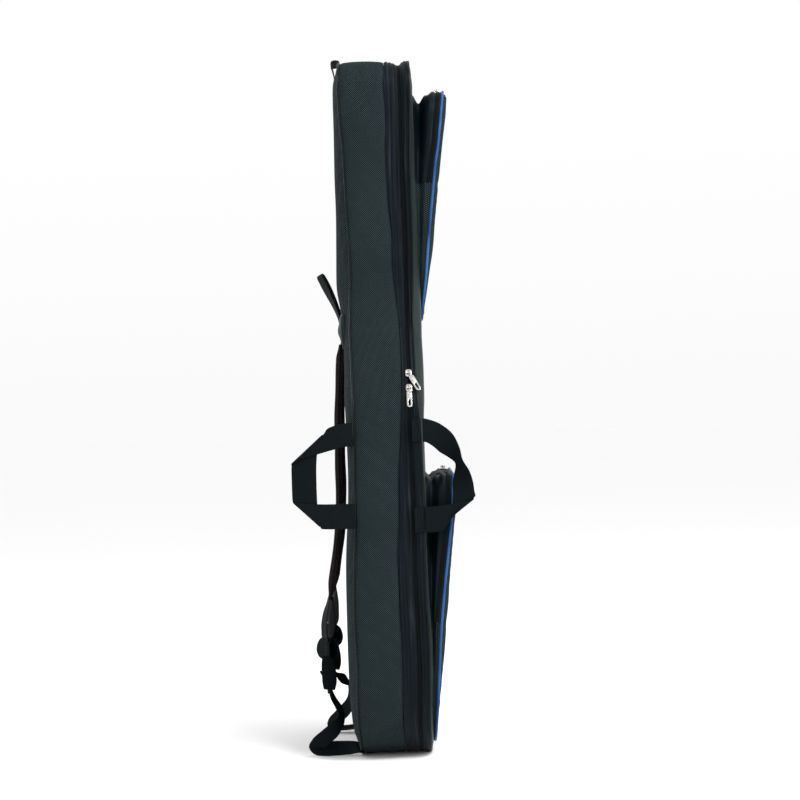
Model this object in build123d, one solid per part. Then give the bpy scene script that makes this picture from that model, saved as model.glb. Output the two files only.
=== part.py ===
from build123d import *

import os
from math import atan2, degrees

# A padded gig bag for a full-size acoustic guitar, standing upright. Millimetres, +Z up.
# X runs across the bag, the pockets face -Y, the back panel and its shoulder straps face +Y.
# The origin is on the flat of the bottom, in the middle of the bag's width.
# The side with the carry handles and the two main zip sliders is -X; the lid's fabric hinge is at +X.

# Half of the bag's outline seen from the front: (half width, height, corner radius).
HALF_OUTLINE = [
    (212, 0, 125),
    (212, 200, 120),
    (186, 330, 200),
    (186, 545, 80),
    (88, 700, 160),
    (96, 1090, 45),
]
HEIGHT = HALF_OUTLINE[-1][1]
WAIST, WAIST_HEIGHT = HALF_OUTLINE[2][:2]
NECK_HEIGHT = 650  # where the straight shoulder starts to curve into the neck

# Depth stations, from the back panel to the front.
BACK_CREST = 60
BACK_EDGE = 48
BAND_BACK = -20
BAND_FRONT = -38
ZIP_MIDDLE = -40.5
LID_BACK = -43
LID_EDGE = -55
LID_CREST = -61

FABRIC = 1.2
FOAM = 8
LINING = 0.8
PIPING = 2.5
PIPING_DEPTH = 3.5
WALL = FABRIC + FOAM + LINING
LID_WALL = 7
TAPE = 1.0
COIL_TOP = 0.4
COIL_BOTTOM = 2.8
DOME_TAPER = 45
GAP = 0.4  # between pieces that move against each other

# The fabric hinge, and the lid's axis just outside it.
HINGE_LOW, HINGE_HIGH = 95, 225
HINGE_X = HALF_OUTLINE[0][0] + 2

# Pockets on the lid: half widths, heights, how far they stand proud of it, the depth of the front's
# padding, and where their flap folds.
UPPER_POCKET = [(80, 1040, 38), (76, 760, 60), (48, 682, 25)]
UPPER_PROUD, UPPER_CROWN = (9, 57), (5, 9)  # each at the pocket's bottom and top
UPPER_FOLD = 891
LOWER_POCKET_INSET = 14
LOWER_POCKET_LOW, LOWER_POCKET_HIGH = 17, 434
LOWER_PROUD, LOWER_CROWN = (5, 51), (2, 11)
LOWER_FOLD = 207
POCKET_WALL = 2.5
POCKET_COIL = (6, 10)  # how far behind the seam it starts and ends
COLLAR = 1.5  # how far piping and coil stand out

# Webbing and the shoulder straps.
WEBBING = 1.6
HANDLE_WEBBING = 3
HANDLE_SWING = 2  # from the handle's axis to where its loop begins
HANDLE_SEWN = 3  # from the axis to the sewn ends of the front handle
HANDLE_X = -WAIST - HANDLE_WEBBING / 2 - GAP
BACK_SEAM = BACK_EDGE + PIPING_DEPTH
LID_SEAM = LID_EDGE - PIPING_DEPTH
BACK_HANDLE_ENDS = (357, 396), (483, 519)  # the heights that each handle's two ends cover
FRONT_HANDLE_ENDS = (346, 389), (487, 523)
STRAP_TOP = (55, 640)
STRAP_FOOT_X = 125
TAIL_Y = 100.3
PAD_WIDTH = 56
PAD_THICK = 12
WEB_WIDTH = 25
BIG = 1500

# Zip sliders and their pulls.
SLIDER_WIDTH, SLIDER_LENGTH, SLIDER_THICK = 9.5, 13, 2.2
EAR_X = 2.8
PIN_RADIUS = 0.8
EYE_RADIUS, EYE_BORE, EYE_WIDTH = 2.2, 1.2, 3.6
PULL_LENGTH, PULL_WIDTH, PULL_THICK = 22, 8, 1.4


def rounded(corners):
    """A face from (x, z, radius) corners; a radius of 0 leaves a corner sharp."""
    face = make_face(Polyline(*[(x, z) for x, z, _ in corners], close=True))
    for x, z, radius in corners:
        if radius:
            nearest = face.vertices().sort_by_distance((x, z, 0))[0]
            face = fillet(nearest, radius)
    return face


def mirrored(half):
    """The corners of a symmetric outline from those of its right half, bottom to top."""
    return half + [(-x, z, radius) for x, z, radius in reversed(half)]


OUTLINE = rounded(mirrored(HALF_OUTLINE))


def outline(inset):
    """The bag's outline, moved inwards by inset."""
    return offset(OUTLINE, amount=-inset) if inset else OUTLINE


def slab(face, y_back, y_front):
    """A front-view face as a solid between two depths."""
    return extrude(Plane.XZ.offset(-y_back) * face, y_back - y_front)


def ring(outer, inner, y_back, y_front):
    """A wall that follows the outline between two insets and two depths."""
    return slab(outline(outer) - outline(inner), y_back, y_front)


def dome(inset, y_edge, y_crest):
    """A padded panel whose border slopes from its edge to its crest."""
    facing = 1 if y_crest > y_edge else -1
    plane = Plane(origin=(0, y_edge, 0), x_dir=(-facing, 0, 0), z_dir=(0, facing, 0))
    return extrude(plane * outline(inset), abs(y_crest - y_edge), taper=DOME_TAPER)


def block(x, y, z):
    """A box between three (low, high) pairs."""
    size = [high - low for low, high in (x, y, z)]
    middle = [(high + low) / 2 for low, high in (x, y, z)]
    return Pos(*middle) * Box(*size)


def save(name, *shapes):
    """Writes one node."""
    solids = [solid for shape in shapes for solid in shape.solids()]
    export_step(Compound(solids) if len(solids) > 1 else solids[0], f"parts/{name}.step")


def strips(solid):
    """A piece that runs round the bag, as strips that meet at the waist and where the neck starts."""
    cuts = [-BIG, WAIST_HEIGHT, NECK_HEIGHT, BIG]
    return [solid & block((-BIG, BIG), (-BIG, BIG), limits) for limits in zip(cuts, cuts[1:])]


def hinge_zone():
    """The stretch of the outline where the lid is joined by fabric and there is no zip."""
    return block((0, BIG), (-BIG, BIG), (HINGE_LOW, HINGE_HIGH))


def shell():
    """The tub: a padded back panel and a wide padded gusset."""
    foam_crest = BACK_CREST - FABRIC
    foam_inset = PIPING + FABRIC
    back_foam = dome(foam_inset, BACK_EDGE, foam_crest)
    save("back_panel_foam", back_foam)
    save("back_panel_outer", *strips(dome(PIPING, BACK_EDGE, BACK_CREST) - back_foam))
    save("back_panel_lining", slab(outline(WALL), BACK_EDGE, BACK_EDGE - FABRIC))
    save("back_piping", ring(0, PIPING, BACK_EDGE + PIPING_DEPTH, BACK_EDGE))
    save("gusset_outer", *strips(ring(0, FABRIC, BACK_EDGE, BAND_BACK)))
    tape_back = BAND_FRONT + 5
    save("gusset_foam", ring(FABRIC, FABRIC + FOAM, BACK_EDGE, tape_back))
    save("gusset_lining", ring(FABRIC + FOAM, WALL, BACK_EDGE, BAND_FRONT))
    save("gusset_zip_band", *strips(ring(0, FABRIC, BAND_BACK, BAND_FRONT)))
    coil_back = ZIP_MIDDLE + 1.5
    tape = ring(FABRIC, FABRIC + TAPE, tape_back, coil_back)
    save("zip_tape_shell", tape - hinge_zone())
    coil = ring(COIL_TOP, COIL_BOTTOM, coil_back, ZIP_MIDDLE + GAP / 4)
    save("zip_coil_shell", coil - hinge_zone())
    save("lid_hinge_strip", ring(-FABRIC, 0, BAND_BACK, ZIP_MIDDLE + GAP) & hinge_zone())


def lid():
    """The front: a narrow gusset and a padded panel that opens on the fabric hinge."""
    foam_crest = LID_CREST + FABRIC
    panel_foam = dome(PIPING + FABRIC, LID_EDGE, foam_crest)
    tape_front = LID_BACK - 5
    wall_foam = ring(FABRIC, LID_WALL, tape_front, LID_EDGE)
    save("lid_foam", panel_foam + wall_foam)
    save("lid_panel_outer", *strips(dome(PIPING, LID_EDGE, LID_CREST) - panel_foam))
    save("lid_lining", slab(outline(LID_WALL), LID_EDGE + LINING, LID_EDGE))
    save("lid_gusset", *strips(ring(0, FABRIC, LID_BACK, LID_EDGE)))
    save("lid_piping", ring(0, PIPING, LID_EDGE, LID_EDGE - PIPING_DEPTH))
    coil_front = ZIP_MIDDLE - 1.5
    tape = ring(FABRIC, FABRIC + TAPE, coil_front, tape_front)
    save("zip_tape_lid", tape - hinge_zone())
    coil = ring(COIL_TOP, COIL_BOTTOM, ZIP_MIDDLE - GAP / 4, coil_front)
    save("zip_coil_lid", coil - hinge_zone())


class PocketFront:
    """The padded front of a pocket: a sloping crest plane, and a seam plane further back."""

    def __init__(self, z_range, proud, crown):
        self.z_low, self.z_high = z_range
        self.proud, self.crown = proud, crown

    def at(self, z, pair):
        """A value that goes evenly from one at the pocket's bottom to another at its top."""
        low, high = pair
        return low + (high - low) * (z - self.z_low) / (self.z_high - self.z_low)

    def crest(self, z):
        """How far forward the padding reaches."""
        return LID_CREST - self.at(z, self.proud)

    def seam(self, z, behind=0):
        """Where the seam with the piping lies, or a place behind it."""
        return self.crest(z) + self.at(z, self.crown) + behind

    def layer(self, front, rear, z_low, z_high):
        """The space between two depths, each a function of the height."""
        fore = [(front(z), z) for z in (z_low, z_high)]
        aft = [(rear(z), z) for z in (z_high, z_low)]
        profile = make_face(Polyline(*fore, *aft, close=True))
        return extrude(Plane.YZ.offset(-BIG / 2) * profile, BIG)

    def panel(self, z_low, z_high):
        """The padded panel."""
        return self.layer(self.crest, self.seam, z_low, z_high)

    def strip(self, near, far, z_low, z_high):
        """A strip between two distances behind the seam."""
        return self.layer(lambda z: self.seam(z, near), lambda z: self.seam(z, far), z_low, z_high)

    def sides(self, z_low, z_high):
        """Everything between the panel and the lid."""
        return self.layer(lambda z: self.seam(z, GAP), lambda z: LID_CREST, z_low, z_high)


UPPER_FRONT = PocketFront((UPPER_POCKET[-1][1], UPPER_POCKET[0][1]), UPPER_PROUD, UPPER_CROWN)
LOWER_FRONT = PocketFront((LOWER_POCKET_LOW, LOWER_POCKET_HIGH), LOWER_PROUD, LOWER_CROWN)


def pocket(name, face, front, fold):
    """A pocket: gusset, zip band and coil around it, front panel and piping, split at the fold."""
    low, high = front.z_low - 5, front.z_high + 5
    prism = slab(face, LID_CREST, -BIG)
    collar = slab(offset(face, amount=COLLAR) - face, LID_CREST, -BIG)
    wall = prism - slab(offset(face, amount=-POCKET_WALL), LID_CREST + 1, -BIG)
    save(f"{name}_gusset", wall & front.sides(low, fold))
    save(f"{name}_zip_band", wall & front.sides(fold, high))
    save(f"{name}_zip_coil", collar & front.strip(*POCKET_COIL, fold, high))
    save(f"{name}_front", prism & front.panel(low, fold - GAP))
    save(f"{name}_flap", prism & front.panel(fold + GAP, high))
    save(f"{name}_piping", collar & front.strip(-COLLAR, COLLAR - GAP, low, fold - GAP))
    save(f"{name}_flap_piping", collar & front.strip(-COLLAR, 0, fold + GAP, high))


def slider(plane, lean):
    """A zip slider and its pull at rest. plane: x across the zip, y along it, z away from the bag."""
    body = Pos(0, 0, GAP + SLIDER_THICK / 2) * Box(SLIDER_WIDTH, SLIDER_LENGTH, SLIDER_THICK)
    body = fillet(body.edges().filter_by(Axis.Z), 3)
    top = GAP + SLIDER_THICK
    pivot = top + 2.6
    ear_top = pivot + EYE_BORE
    for side in (-1, 1):
        body += Pos(side * EAR_X, 0, (top + ear_top) / 2) * Box(1.2, 4, ear_top - top)
    body += Pos(0, 0, pivot) * Rot(0, 90, 0) * Cylinder(PIN_RADIUS, 2 * EAR_X)
    bore = Rot(0, 90, 0) * Cylinder(EYE_BORE, EYE_WIDTH + GAP)
    eye = Rot(0, 90, 0) * Cylinder(EYE_RADIUS, EYE_WIDTH)
    neck = Pos(0, -5.5, 0) * Box(1.6, 8, PULL_THICK)
    blade_face = SlotCenterToCenter(PULL_LENGTH, PULL_WIDTH, rotation=90)
    slot_face = Pos(0, -7) * SlotCenterToCenter(8, 3.4, rotation=90)
    blade = Pos(0, -PULL_LENGTH, 0) * extrude(blade_face - slot_face, PULL_THICK / 2, both=True)
    leaf = Rot(0, 0, lean) * (neck + blade)
    pull = (eye - bore) + (leaf - bore)
    return plane * body, plane * Pos(0, 0, pivot) * pull


def slope_plane(z):
    """The zip's frame on the straight shoulder at -X, at a height."""
    (x_low, z_low, _), (x_high, z_high, _) = HALF_OUTLINE[3:5]
    share = (z - z_low) / (z_high - z_low)
    x = -(x_low + (x_high - x_low) * share)
    along = Vector(x_low - x_high, 0, z_high - z_low).normalized()
    outward = Vector(-along.Z, 0, along.X)
    return Plane(origin=(x, ZIP_MIDDLE, z), x_dir=along.cross(outward), z_dir=outward)


def main_sliders():
    """Two sliders that meet on the shoulder, one pull hanging straight and one aside."""
    for name, z, lean in (("upper", 592, 25), ("lower", 569, 0)):
        body, pull = slider(slope_plane(z), lean)
        save(f"main_slider_{name}", body)
        save(f"main_pull_{name}", pull)


def pocket_slider(name, front, x):
    """A slider on the straight top of a pocket, its pull lying along the zip."""
    y = front.seam(front.z_high, sum(POCKET_COIL) / 2)
    plane = Plane(origin=(x, y, front.z_high + COLLAR), x_dir=(0, 1, 0), z_dir=(0, 0, 1))
    body, pull = slider(plane, 0)
    save(f"{name}_slider", body)
    save(f"{name}_pull", pull)


def side_plate(outer, inner, y_base, facing):
    """A flat webbing loop beside the bag, from (distance from its seam, z, radius) corners."""
    faces = []
    for corners in (outer, inner):
        faces.append(rounded([(y_base + facing * reach, z, radius) for reach, z, radius in corners]))
    return extrude(Plane.YZ.offset(HANDLE_X) * (faces[0] - faces[1]), HANDLE_WEBBING / 2, both=True)


def swung(corners, low, high):
    """A loop's outer corners, closed where it leaves its seam."""
    return [(HANDLE_SWING, low, 0), *corners, (HANDLE_SWING, high, 0)]


def held(corners, low, high):
    """A loop's inner corners, run back past the seam."""
    return [(-9, low, 0), *corners, (-9, high, 0)]


def handles():
    """Two carry handles at -X, each held in a seam and free to swing about it."""
    low, high = BACK_HANDLE_ENDS
    outer = [(48, low[0], 15), (93, 402, 15), (93, 457, 20), (60, 484, 20), (22, high[1], 15)]
    grip = [(54, low[1] + 2, 8), (54, 440, 20), (50, high[0] - 2, 8)]
    save("back_handle", side_plate(swung(outer, low[0], high[1]), held(grip, low[1], high[0]), BACK_SEAM, 1))
    low, high = FRONT_HANDLE_ENDS
    outer = [(16, low[0], 12), (57, 382, 10), (75, 396, 8), (74, 418, 15), (52, 490, 15), (18, 519, 15)]
    grip = [(36, low[1], 6), (45, 400, 8), (44, 434, 5), (49, 453, 4), (20, 477, 15)]
    save("front_handle", side_plate(swung(outer, low[0], high[1]), held(grip, low[1], high[0]), LID_SEAM, -1))
    sewn_x = (HANDLE_X - HANDLE_WEBBING / 2, HANDLE_X + HANDLE_WEBBING / 2)
    sewn_y = (LID_SEAM + HANDLE_SEWN, LID_BACK - 1)
    save("front_handle_ends", block(sewn_x, sewn_y, low), block(sewn_x, sewn_y, high))


def ribbon(path, thickness, width):
    """A strip with that side view, (y, z) points with one bend radius, centred on x = 0."""
    points, radius = path
    line = FilletPolyline(*points, radius=radius) if radius else Polyline(*points)
    return extrude(Plane.YZ * trace(line, thickness), width / 2, both=True)


def top_loops():
    """The hanging loop at the top of the back, and the grab loop at the neck."""
    hang = ([(62, 1062), (65, 1086), (69, 1099), (53, 1101.5), (55, 1084)], 1.5)
    save("hang_loop", ribbon(hang, WEBBING, WEB_WIDTH))
    back = [(63.5, 676), (66.5, 676), (71, 690), (86, 716), (96, 741)]
    front = [(94, 753), (88, 755), (82, 742), (63.5, 694)]
    eye = [(78, 710), (84.5, 718), (94, 741), (92.3, 751), (88.7, 752), (84, 741)]
    side = make_face(Polyline(*back, *front, close=True)) - make_face(Polyline(*eye, close=True))
    save("grab_loop", extrude(Plane.YZ * side, WEB_WIDTH / 2, both=True))


def yoke():
    """The patch on the back panel that the straps and the grab loop are sewn under."""
    patch = [(-86, 690, 8), (86, 690, 8), (94, 640, 8), (-94, 640, 8)]
    save("strap_yoke", slab(rounded(patch), BACK_CREST + 2, BACK_CREST))


def strap_frame(side):
    """Where a shoulder strap's own frame lies: its top in the middle, leaning outwards."""
    x_top, z_top = STRAP_TOP
    lean = degrees(atan2(STRAP_FOOT_X - x_top, z_top))
    return Pos(side * x_top, 0, z_top) * Rot(0, -side * lean, 0) * Pos(0, 0, -z_top)


def strap_foot(side):
    """Where the straight lower webbing lies, from the ladder lock to the bottom seam."""
    return Pos(side * STRAP_FOOT_X, 0, 0)


def ladder_lock():
    """A moulded ladder lock: a frame with two slots and a thumb tab, about its top bar."""
    body = Pos(0, 0, -17) * Box(32, 4, 38)
    body = fillet(body.edges().filter_by(Axis.Y), 5)
    for z, height in ((-3.5, 5), (-15, 5), (-25, 5)):
        body -= Pos(0, 0, z) * Box(WEB_WIDTH + 1.5, 10, height)
    tab = Pos(0, 6.5, -12) * Rot(-28, 0, 0) * Box(22, 2.4, 26)
    bridge = Pos(0, 3, -20.5) * Box(22, 6, 4)
    return body + tab + bridge


def straps():
    """Two shoulder straps: pad, tail webbing, tri-glide, ladder lock and lower webbing."""
    pad = ([(66.5, 637), (71.5, 540), (73.5, 440), (76, 360), (93, 246)], 60)
    tail = ([(94.5, 244), (TAIL_Y, 212), (TAIL_Y, 135)], 40)
    lower = ([(98, 90), (94, 66), (84, 42), (98, 26), (131, 14), (122, 1.4), (84, 1.4), (53, 7)], 5)
    for side, name in ((-1, "left"), (1, "right")):
        frame = strap_frame(side)
        save(f"strap_pad_{name}", frame * ribbon(pad, PAD_THICK, PAD_WIDTH))
        glide = Pos(0, TAIL_Y, 160) * (Box(32, 7, 22) - Box(WEB_WIDTH + 1, 2.6, 30))
        save(f"strap_tail_{name}", frame * ribbon(tail, WEBBING, WEB_WIDTH))
        save(f"tri_glide_{name}", frame * glide)
        save(f"ladder_lock_{name}", frame * Pos(0, TAIL_Y, 130) * ladder_lock())
        save(f"strap_lower_{name}", strap_foot(side) * ribbon(lower, WEBBING, WEB_WIDTH))


def lower_pocket_face():
    """The lower pocket's outline: the bag's own, cut off straight across the waist."""
    middle = (LOWER_POCKET_LOW + LOWER_POCKET_HIGH) / 2
    window = Pos(0, middle) * Rectangle(BIG, LOWER_POCKET_HIGH - LOWER_POCKET_LOW)
    face = outline(LOWER_POCKET_INSET) & window
    top = face.vertices().filter_by_position(Axis.Y, LOWER_POCKET_HIGH - 1, LOWER_POCKET_HIGH + 1)
    return fillet(top, 35)


os.makedirs("parts", exist_ok=True)
shell()
lid()
upper_face = rounded(mirrored([(x, z, radius) for x, z, radius in reversed(UPPER_POCKET)]))
pocket("upper_pocket", upper_face, UPPER_FRONT, UPPER_FOLD)
pocket("lower_pocket", lower_pocket_face(), LOWER_FRONT, LOWER_FOLD)
main_sliders()
pocket_slider("upper_pocket", UPPER_FRONT, -15)
pocket_slider("lower_pocket", LOWER_FRONT, 60)
handles()
top_loops()
yoke()
straps()
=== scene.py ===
from math import atan2, cos, pi, radians, sin

import bmesh
import bpy
import numpy as np
from mathutils import Matrix, Vector


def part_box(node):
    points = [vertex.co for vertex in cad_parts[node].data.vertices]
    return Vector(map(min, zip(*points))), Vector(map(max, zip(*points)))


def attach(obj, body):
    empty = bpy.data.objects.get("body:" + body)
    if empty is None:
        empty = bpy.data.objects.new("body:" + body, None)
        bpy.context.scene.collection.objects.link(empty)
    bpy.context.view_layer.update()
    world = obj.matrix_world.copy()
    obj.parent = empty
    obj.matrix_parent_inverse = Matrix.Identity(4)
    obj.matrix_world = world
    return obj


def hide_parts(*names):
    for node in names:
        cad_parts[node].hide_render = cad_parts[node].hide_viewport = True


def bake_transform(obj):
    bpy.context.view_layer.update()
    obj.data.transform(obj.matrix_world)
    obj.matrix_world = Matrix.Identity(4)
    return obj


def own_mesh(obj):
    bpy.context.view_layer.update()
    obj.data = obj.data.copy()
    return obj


# A padded guitar gig bag, in metres, in the CAD frame: +Z up, pockets towards -Y, straps towards +Y,
# carry handles at -X, and the lid's fabric hinge at +X.

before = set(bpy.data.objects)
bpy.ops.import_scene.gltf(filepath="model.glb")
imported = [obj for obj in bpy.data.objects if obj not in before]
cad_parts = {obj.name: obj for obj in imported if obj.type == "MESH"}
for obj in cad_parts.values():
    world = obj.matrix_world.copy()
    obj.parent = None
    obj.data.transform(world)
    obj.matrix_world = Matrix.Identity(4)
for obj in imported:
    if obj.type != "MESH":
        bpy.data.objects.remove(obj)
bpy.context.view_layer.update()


def low(node, axis):
    """The lowest coordinate of a CAD node along an axis."""
    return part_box(node)[0][axis]


def high(node, axis):
    """The highest coordinate of a CAD node along an axis."""
    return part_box(node)[1][axis]


X, Y, Z = 0, 1, 2
BACK_EDGE = low("back_piping", Y)
BAND_BACK = low("gusset_outer", Y)
BAND_FRONT = low("gusset_zip_band", Y)
ZIP_MIDDLE = (low("zip_coil_shell", Y) + high("zip_coil_lid", Y)) / 2
LID_BACK = high("lid_gusset", Y)
LID_EDGE = low("lid_gusset", Y)
LID_CREST = low("lid_panel_outer", Y)
HINGE_LOW, HINGE_HIGH = low("lid_hinge_strip", Z), high("lid_hinge_strip", Z)
YOKE_LOW, YOKE_HIGH = low("strap_yoke", Z), high("strap_yoke", Z)

# Half of the bag's outline seen from the front: (half width, height, corner radius).
HALF_OUTLINE = [
    (0.212, 0, 0.125), (0.212, 0.2, 0.12), (0.186, 0.33, 0.2), (0.186, 0.545, 0.08), (0.088, 0.7, 0.16),
    (0.096, 1.09, 0.045),
]
SKIN = 0.0092  # the fabric and its foam
LINING = 0.0008
LID_SKIN = 0.0062
PIPING_RADIUS = 0.0021

UPPER_HALF = [(0.048, 0.682, 0.025), (0.076, 0.76, 0.06), (0.08, 1.04, 0.038)]
LOWER_HALF = [(0.198, 0.017, 0.111), (0.198, 0.2, 0.106), (0.172, 0.33, 0.2), (0.172, 0.434, 0.035)]
POCKET_COIL = (0.006, 0.010)  # how far behind a pocket's seam its zip starts and ends
STRAP_TOP = (0.055, 0.64)  # x, z
STRAP_FOOT_X = 0.125


# ---------------------------------------------------------------- curves and fields

def smooth_path(knots, per_span=8):
    """Rows of numbers that pass smoothly through the knots."""
    knots = np.asarray(knots, float)
    ends = np.vstack([2 * knots[0] - knots[1], knots, 2 * knots[-1] - knots[-2]])
    t = np.linspace(0, 1, per_span, endpoint=False)[:, None]
    rows = []
    for a, b, c, d in zip(ends, ends[1:], ends[2:], ends[3:]):
        line = 2 * b + (c - a) * t
        rows.append(0.5 * (line + (2 * a - 5 * b + 4 * c - d) * t**2 + (3 * b - a - 3 * c + d) * t**3))
    return np.vstack(rows + [knots[-1:]])


def at_height(z, knots):
    """A value that follows (height, value) knots, eased between them."""
    path = smooth_path(knots, 12)
    return np.interp(z, path[:, 0], path[:, 1])


def ease(value, start, end):
    """0 before start, 1 after end, and smooth between."""
    t = np.clip((np.asarray(value, float) - start) / (end - start), 0, 1)
    return t * t * (3 - 2 * t)


def bell(value, middle, width):
    """1 in the middle, falling off to both sides."""
    return np.exp(-((np.asarray(value, float) - middle) / width) ** 2)


def ripple(points, wavelength, seed, stretch=(1, 1, 1)):
    """Soft irregular waves in space, from about -1 to 1."""
    draw = np.random.RandomState(seed)
    points = np.asarray(points, float) * stretch
    total = 0
    for _ in range(9):
        direction = draw.normal(size=3)
        direction /= np.linalg.norm(direction)
        pace = 2 * pi / (wavelength * draw.uniform(0.7, 1.5))
        total = total + np.sin(points @ direction * pace + draw.uniform(0, 2 * pi))
    return total / 3


# How far the filled bag's back seam stands behind its cut line, by height.
BACK_SEAM_SHIFT = [
    (0, 0.002), (0.065, 0.004), (0.155, 0.0035), (0.247, 0.003), (0.339, 0), (0.43, -0.003),
    (0.5, -0.0045), (0.545, -0.0035), (0.58, -0.003), (0.63, -0.002), (0.677, -0.0008), (0.725, -0.0028),
    (0.77, -0.003),
    (0.86, -0.002), (0.9, -0.0012), (0.95, 0.0015), (0.985, 0.0045), (1.04, 0.006), (1.09, 0.0035),
]
# How far back the filled back panel's padding reaches, by height.
BACK_CREST_LINE = [
    (0, 0.056), (0.06, 0.0635), (0.15, 0.067), (0.3, 0.064), (0.45, 0.0592), (0.56, 0.0595), (0.6, 0.0598),
    (0.645, 0.0602), (0.69, 0.0625), (0.73, 0.0665), (0.8, 0.0695), (0.87, 0.0675), (0.95, 0.0655),
    (1.03, 0.0635), (1.09, 0.0585),
]
# Where the textured side meets the smooth zip band, by height.
BAND_LINE = [
    (0, -0.018), (0.1, -0.0145), (0.3, -0.016), (0.43, -0.019), (0.52, -0.0265), (0.6, -0.029),
    (0.66, -0.0285), (0.7, -0.0258), (0.74, -0.0222), (0.8, -0.0205), (0.86, -0.0172), (0.94, -0.0165),
    (1.04, -0.0175), (1.09, -0.019),
]
# How far forward the filled lid's padding reaches, by height.
LID_CREST_LINE = [
    (0, -0.061), (0.45, -0.0612), (0.58, -0.064), (0.68, -0.064), (0.76, -0.062), (1.09, -0.061),
]
# Where the lid's narrow side meets its padded front, by height.
LID_EDGE_LINE = [
    (0, -0.055), (0.43, -0.055), (0.52, -0.0525), (0.59, -0.0495), (0.68, -0.0492), (0.72, -0.0505),
    (0.77, -0.0518), (0.935, -0.0532), (1.04, -0.055), (1.09, -0.0553),
]


def slider_zone(points):
    """1 near the two main sliders, where the zip lies flat."""
    points = np.asarray(points, float)
    return ease(points[..., Z], 0.535, 0.55) * (1 - ease(points[..., Z], 0.655, 0.675)) * (points[..., X] < 0)


def settle(points):
    """The bag's soft walls where they lie when it is filled: the back seam bows, and the fabric ripples."""
    points = np.array(points, float)
    share = ease(points[..., Y], BAND_FRONT, BACK_EDGE)
    points[..., Y] += share * at_height(points[..., Z], BACK_SEAM_SHIFT)
    calm = (1 - slider_zone(points)) * ease(points[..., Z], 0, 0.05)
    points[..., Y] += 0.0007 * calm * ripple(points, 0.16, 3)
    points[..., X] += 0.0008 * calm * ripple(points, 0.13, 5)
    return points


# ---------------------------------------------------------------- outlines

def in_order(keep):
    """The indices of the connected run of a closed loop where keep is true."""
    first = np.flatnonzero(keep & ~np.roll(keep, 1))[0]
    order = np.roll(np.arange(len(keep)), -first)
    return order[keep[order]]


class Loop:
    """A line in the front view, with its outward normals: a whole outline or a stretch of one."""

    def __init__(self, points, normals, closed=True):
        self.points, self.normals, self.closed = points, normals, closed

    @classmethod
    def rounded(cls, half, step=0.005):
        """From the (half width, height, radius) corners of a symmetric outline, bottom to top."""
        corners = list(half) + [(-x, z, r) for x, z, r in reversed(half)]
        points, headings = [], []
        for before, corner, after in zip([corners[-1]] + corners, corners, corners[1:] + corners[:1]):
            here = np.array(corner[:2])
            into, out = here - before[:2], np.array(after[:2]) - here
            into, out = into / np.linalg.norm(into), out / np.linalg.norm(out)
            turn = atan2(into[0] * out[1] - into[1] * out[0], into @ out)
            reach = corner[2] * np.tan(abs(turn) / 2)
            side = np.sign(turn) * np.array([-into[1], into[0]])
            centre = here - into * reach + side * corner[2]
            count = max(3, round(corner[2] * abs(turn) / step) + 1)
            for angle in np.linspace(0, turn, count):
                spin = np.array([[cos(angle), -sin(angle)], [sin(angle), cos(angle)]])
                points.append(centre - spin @ side * corner[2])
                headings.append(spin @ into)
        dense, directions = [], []
        for a, b, u, v in zip(points, points[1:] + points[:1], headings, headings[1:] + headings[:1]):
            count = max(1, round(np.linalg.norm(b - a) / step))
            for t in np.linspace(0, 1, count, endpoint=False):
                dense.append(a + (b - a) * t)
                directions.append(u + (v - u) * t)
        directions = np.array(directions)
        normals = np.column_stack([directions[:, 1], -directions[:, 0]])
        return cls(np.array(dense), normals / np.linalg.norm(normals, axis=1)[:, None])

    def stretch(self, keep):
        """The connected stretch of points where keep is true."""
        order = in_order(keep)
        return Loop(self.points[order], self.normals[order], closed=False)

    def above(self, z):
        return self.stretch(self.points[:, 1] >= z)

    def below(self, z):
        return self.stretch(self.points[:, 1] <= z)

    @property
    def heights(self):
        return self.points[:, 1]

    @property
    def outward(self):
        """The way out of the line at each point, in space."""
        return np.column_stack([self.normals[:, 0], np.zeros(len(self.points)), self.normals[:, 1]])

    def row(self, inset, y):
        """Points of the line at an inset from it and a depth; both may vary along it."""
        flat = self.points - self.normals * np.reshape(inset, (-1, 1))
        return np.column_stack([flat[:, 0], np.broadcast_to(y, len(flat)), flat[:, 1]])

    def half_width(self, z, inset=0):
        """The line's half width at a height."""
        flat = self.points - self.normals * inset
        right = flat[flat[:, 0] > 0]
        right = right[np.argsort(right[:, 1])]
        return np.interp(z, right[:, 1], right[:, 0])

    def distance(self, x, z):
        """How far places in the front view are from the line."""
        x, z = np.asarray(x), np.asarray(z)
        best = np.full(x.shape, 9.0)
        for px, pz in self.points:
            best = np.minimum(best, (x - px) ** 2 + (z - pz) ** 2)
        return np.sqrt(best)


BAG = Loop.rounded(HALF_OUTLINE)


# ---------------------------------------------------------------- meshes

def placed(name, mesh, finish):
    """A mesh as an object of the scene, with its finish."""
    thing = bpy.data.objects.new(name, mesh)
    bpy.context.scene.collection.objects.link(thing)
    mesh.materials.append(MATERIALS[finish])
    return thing


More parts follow.
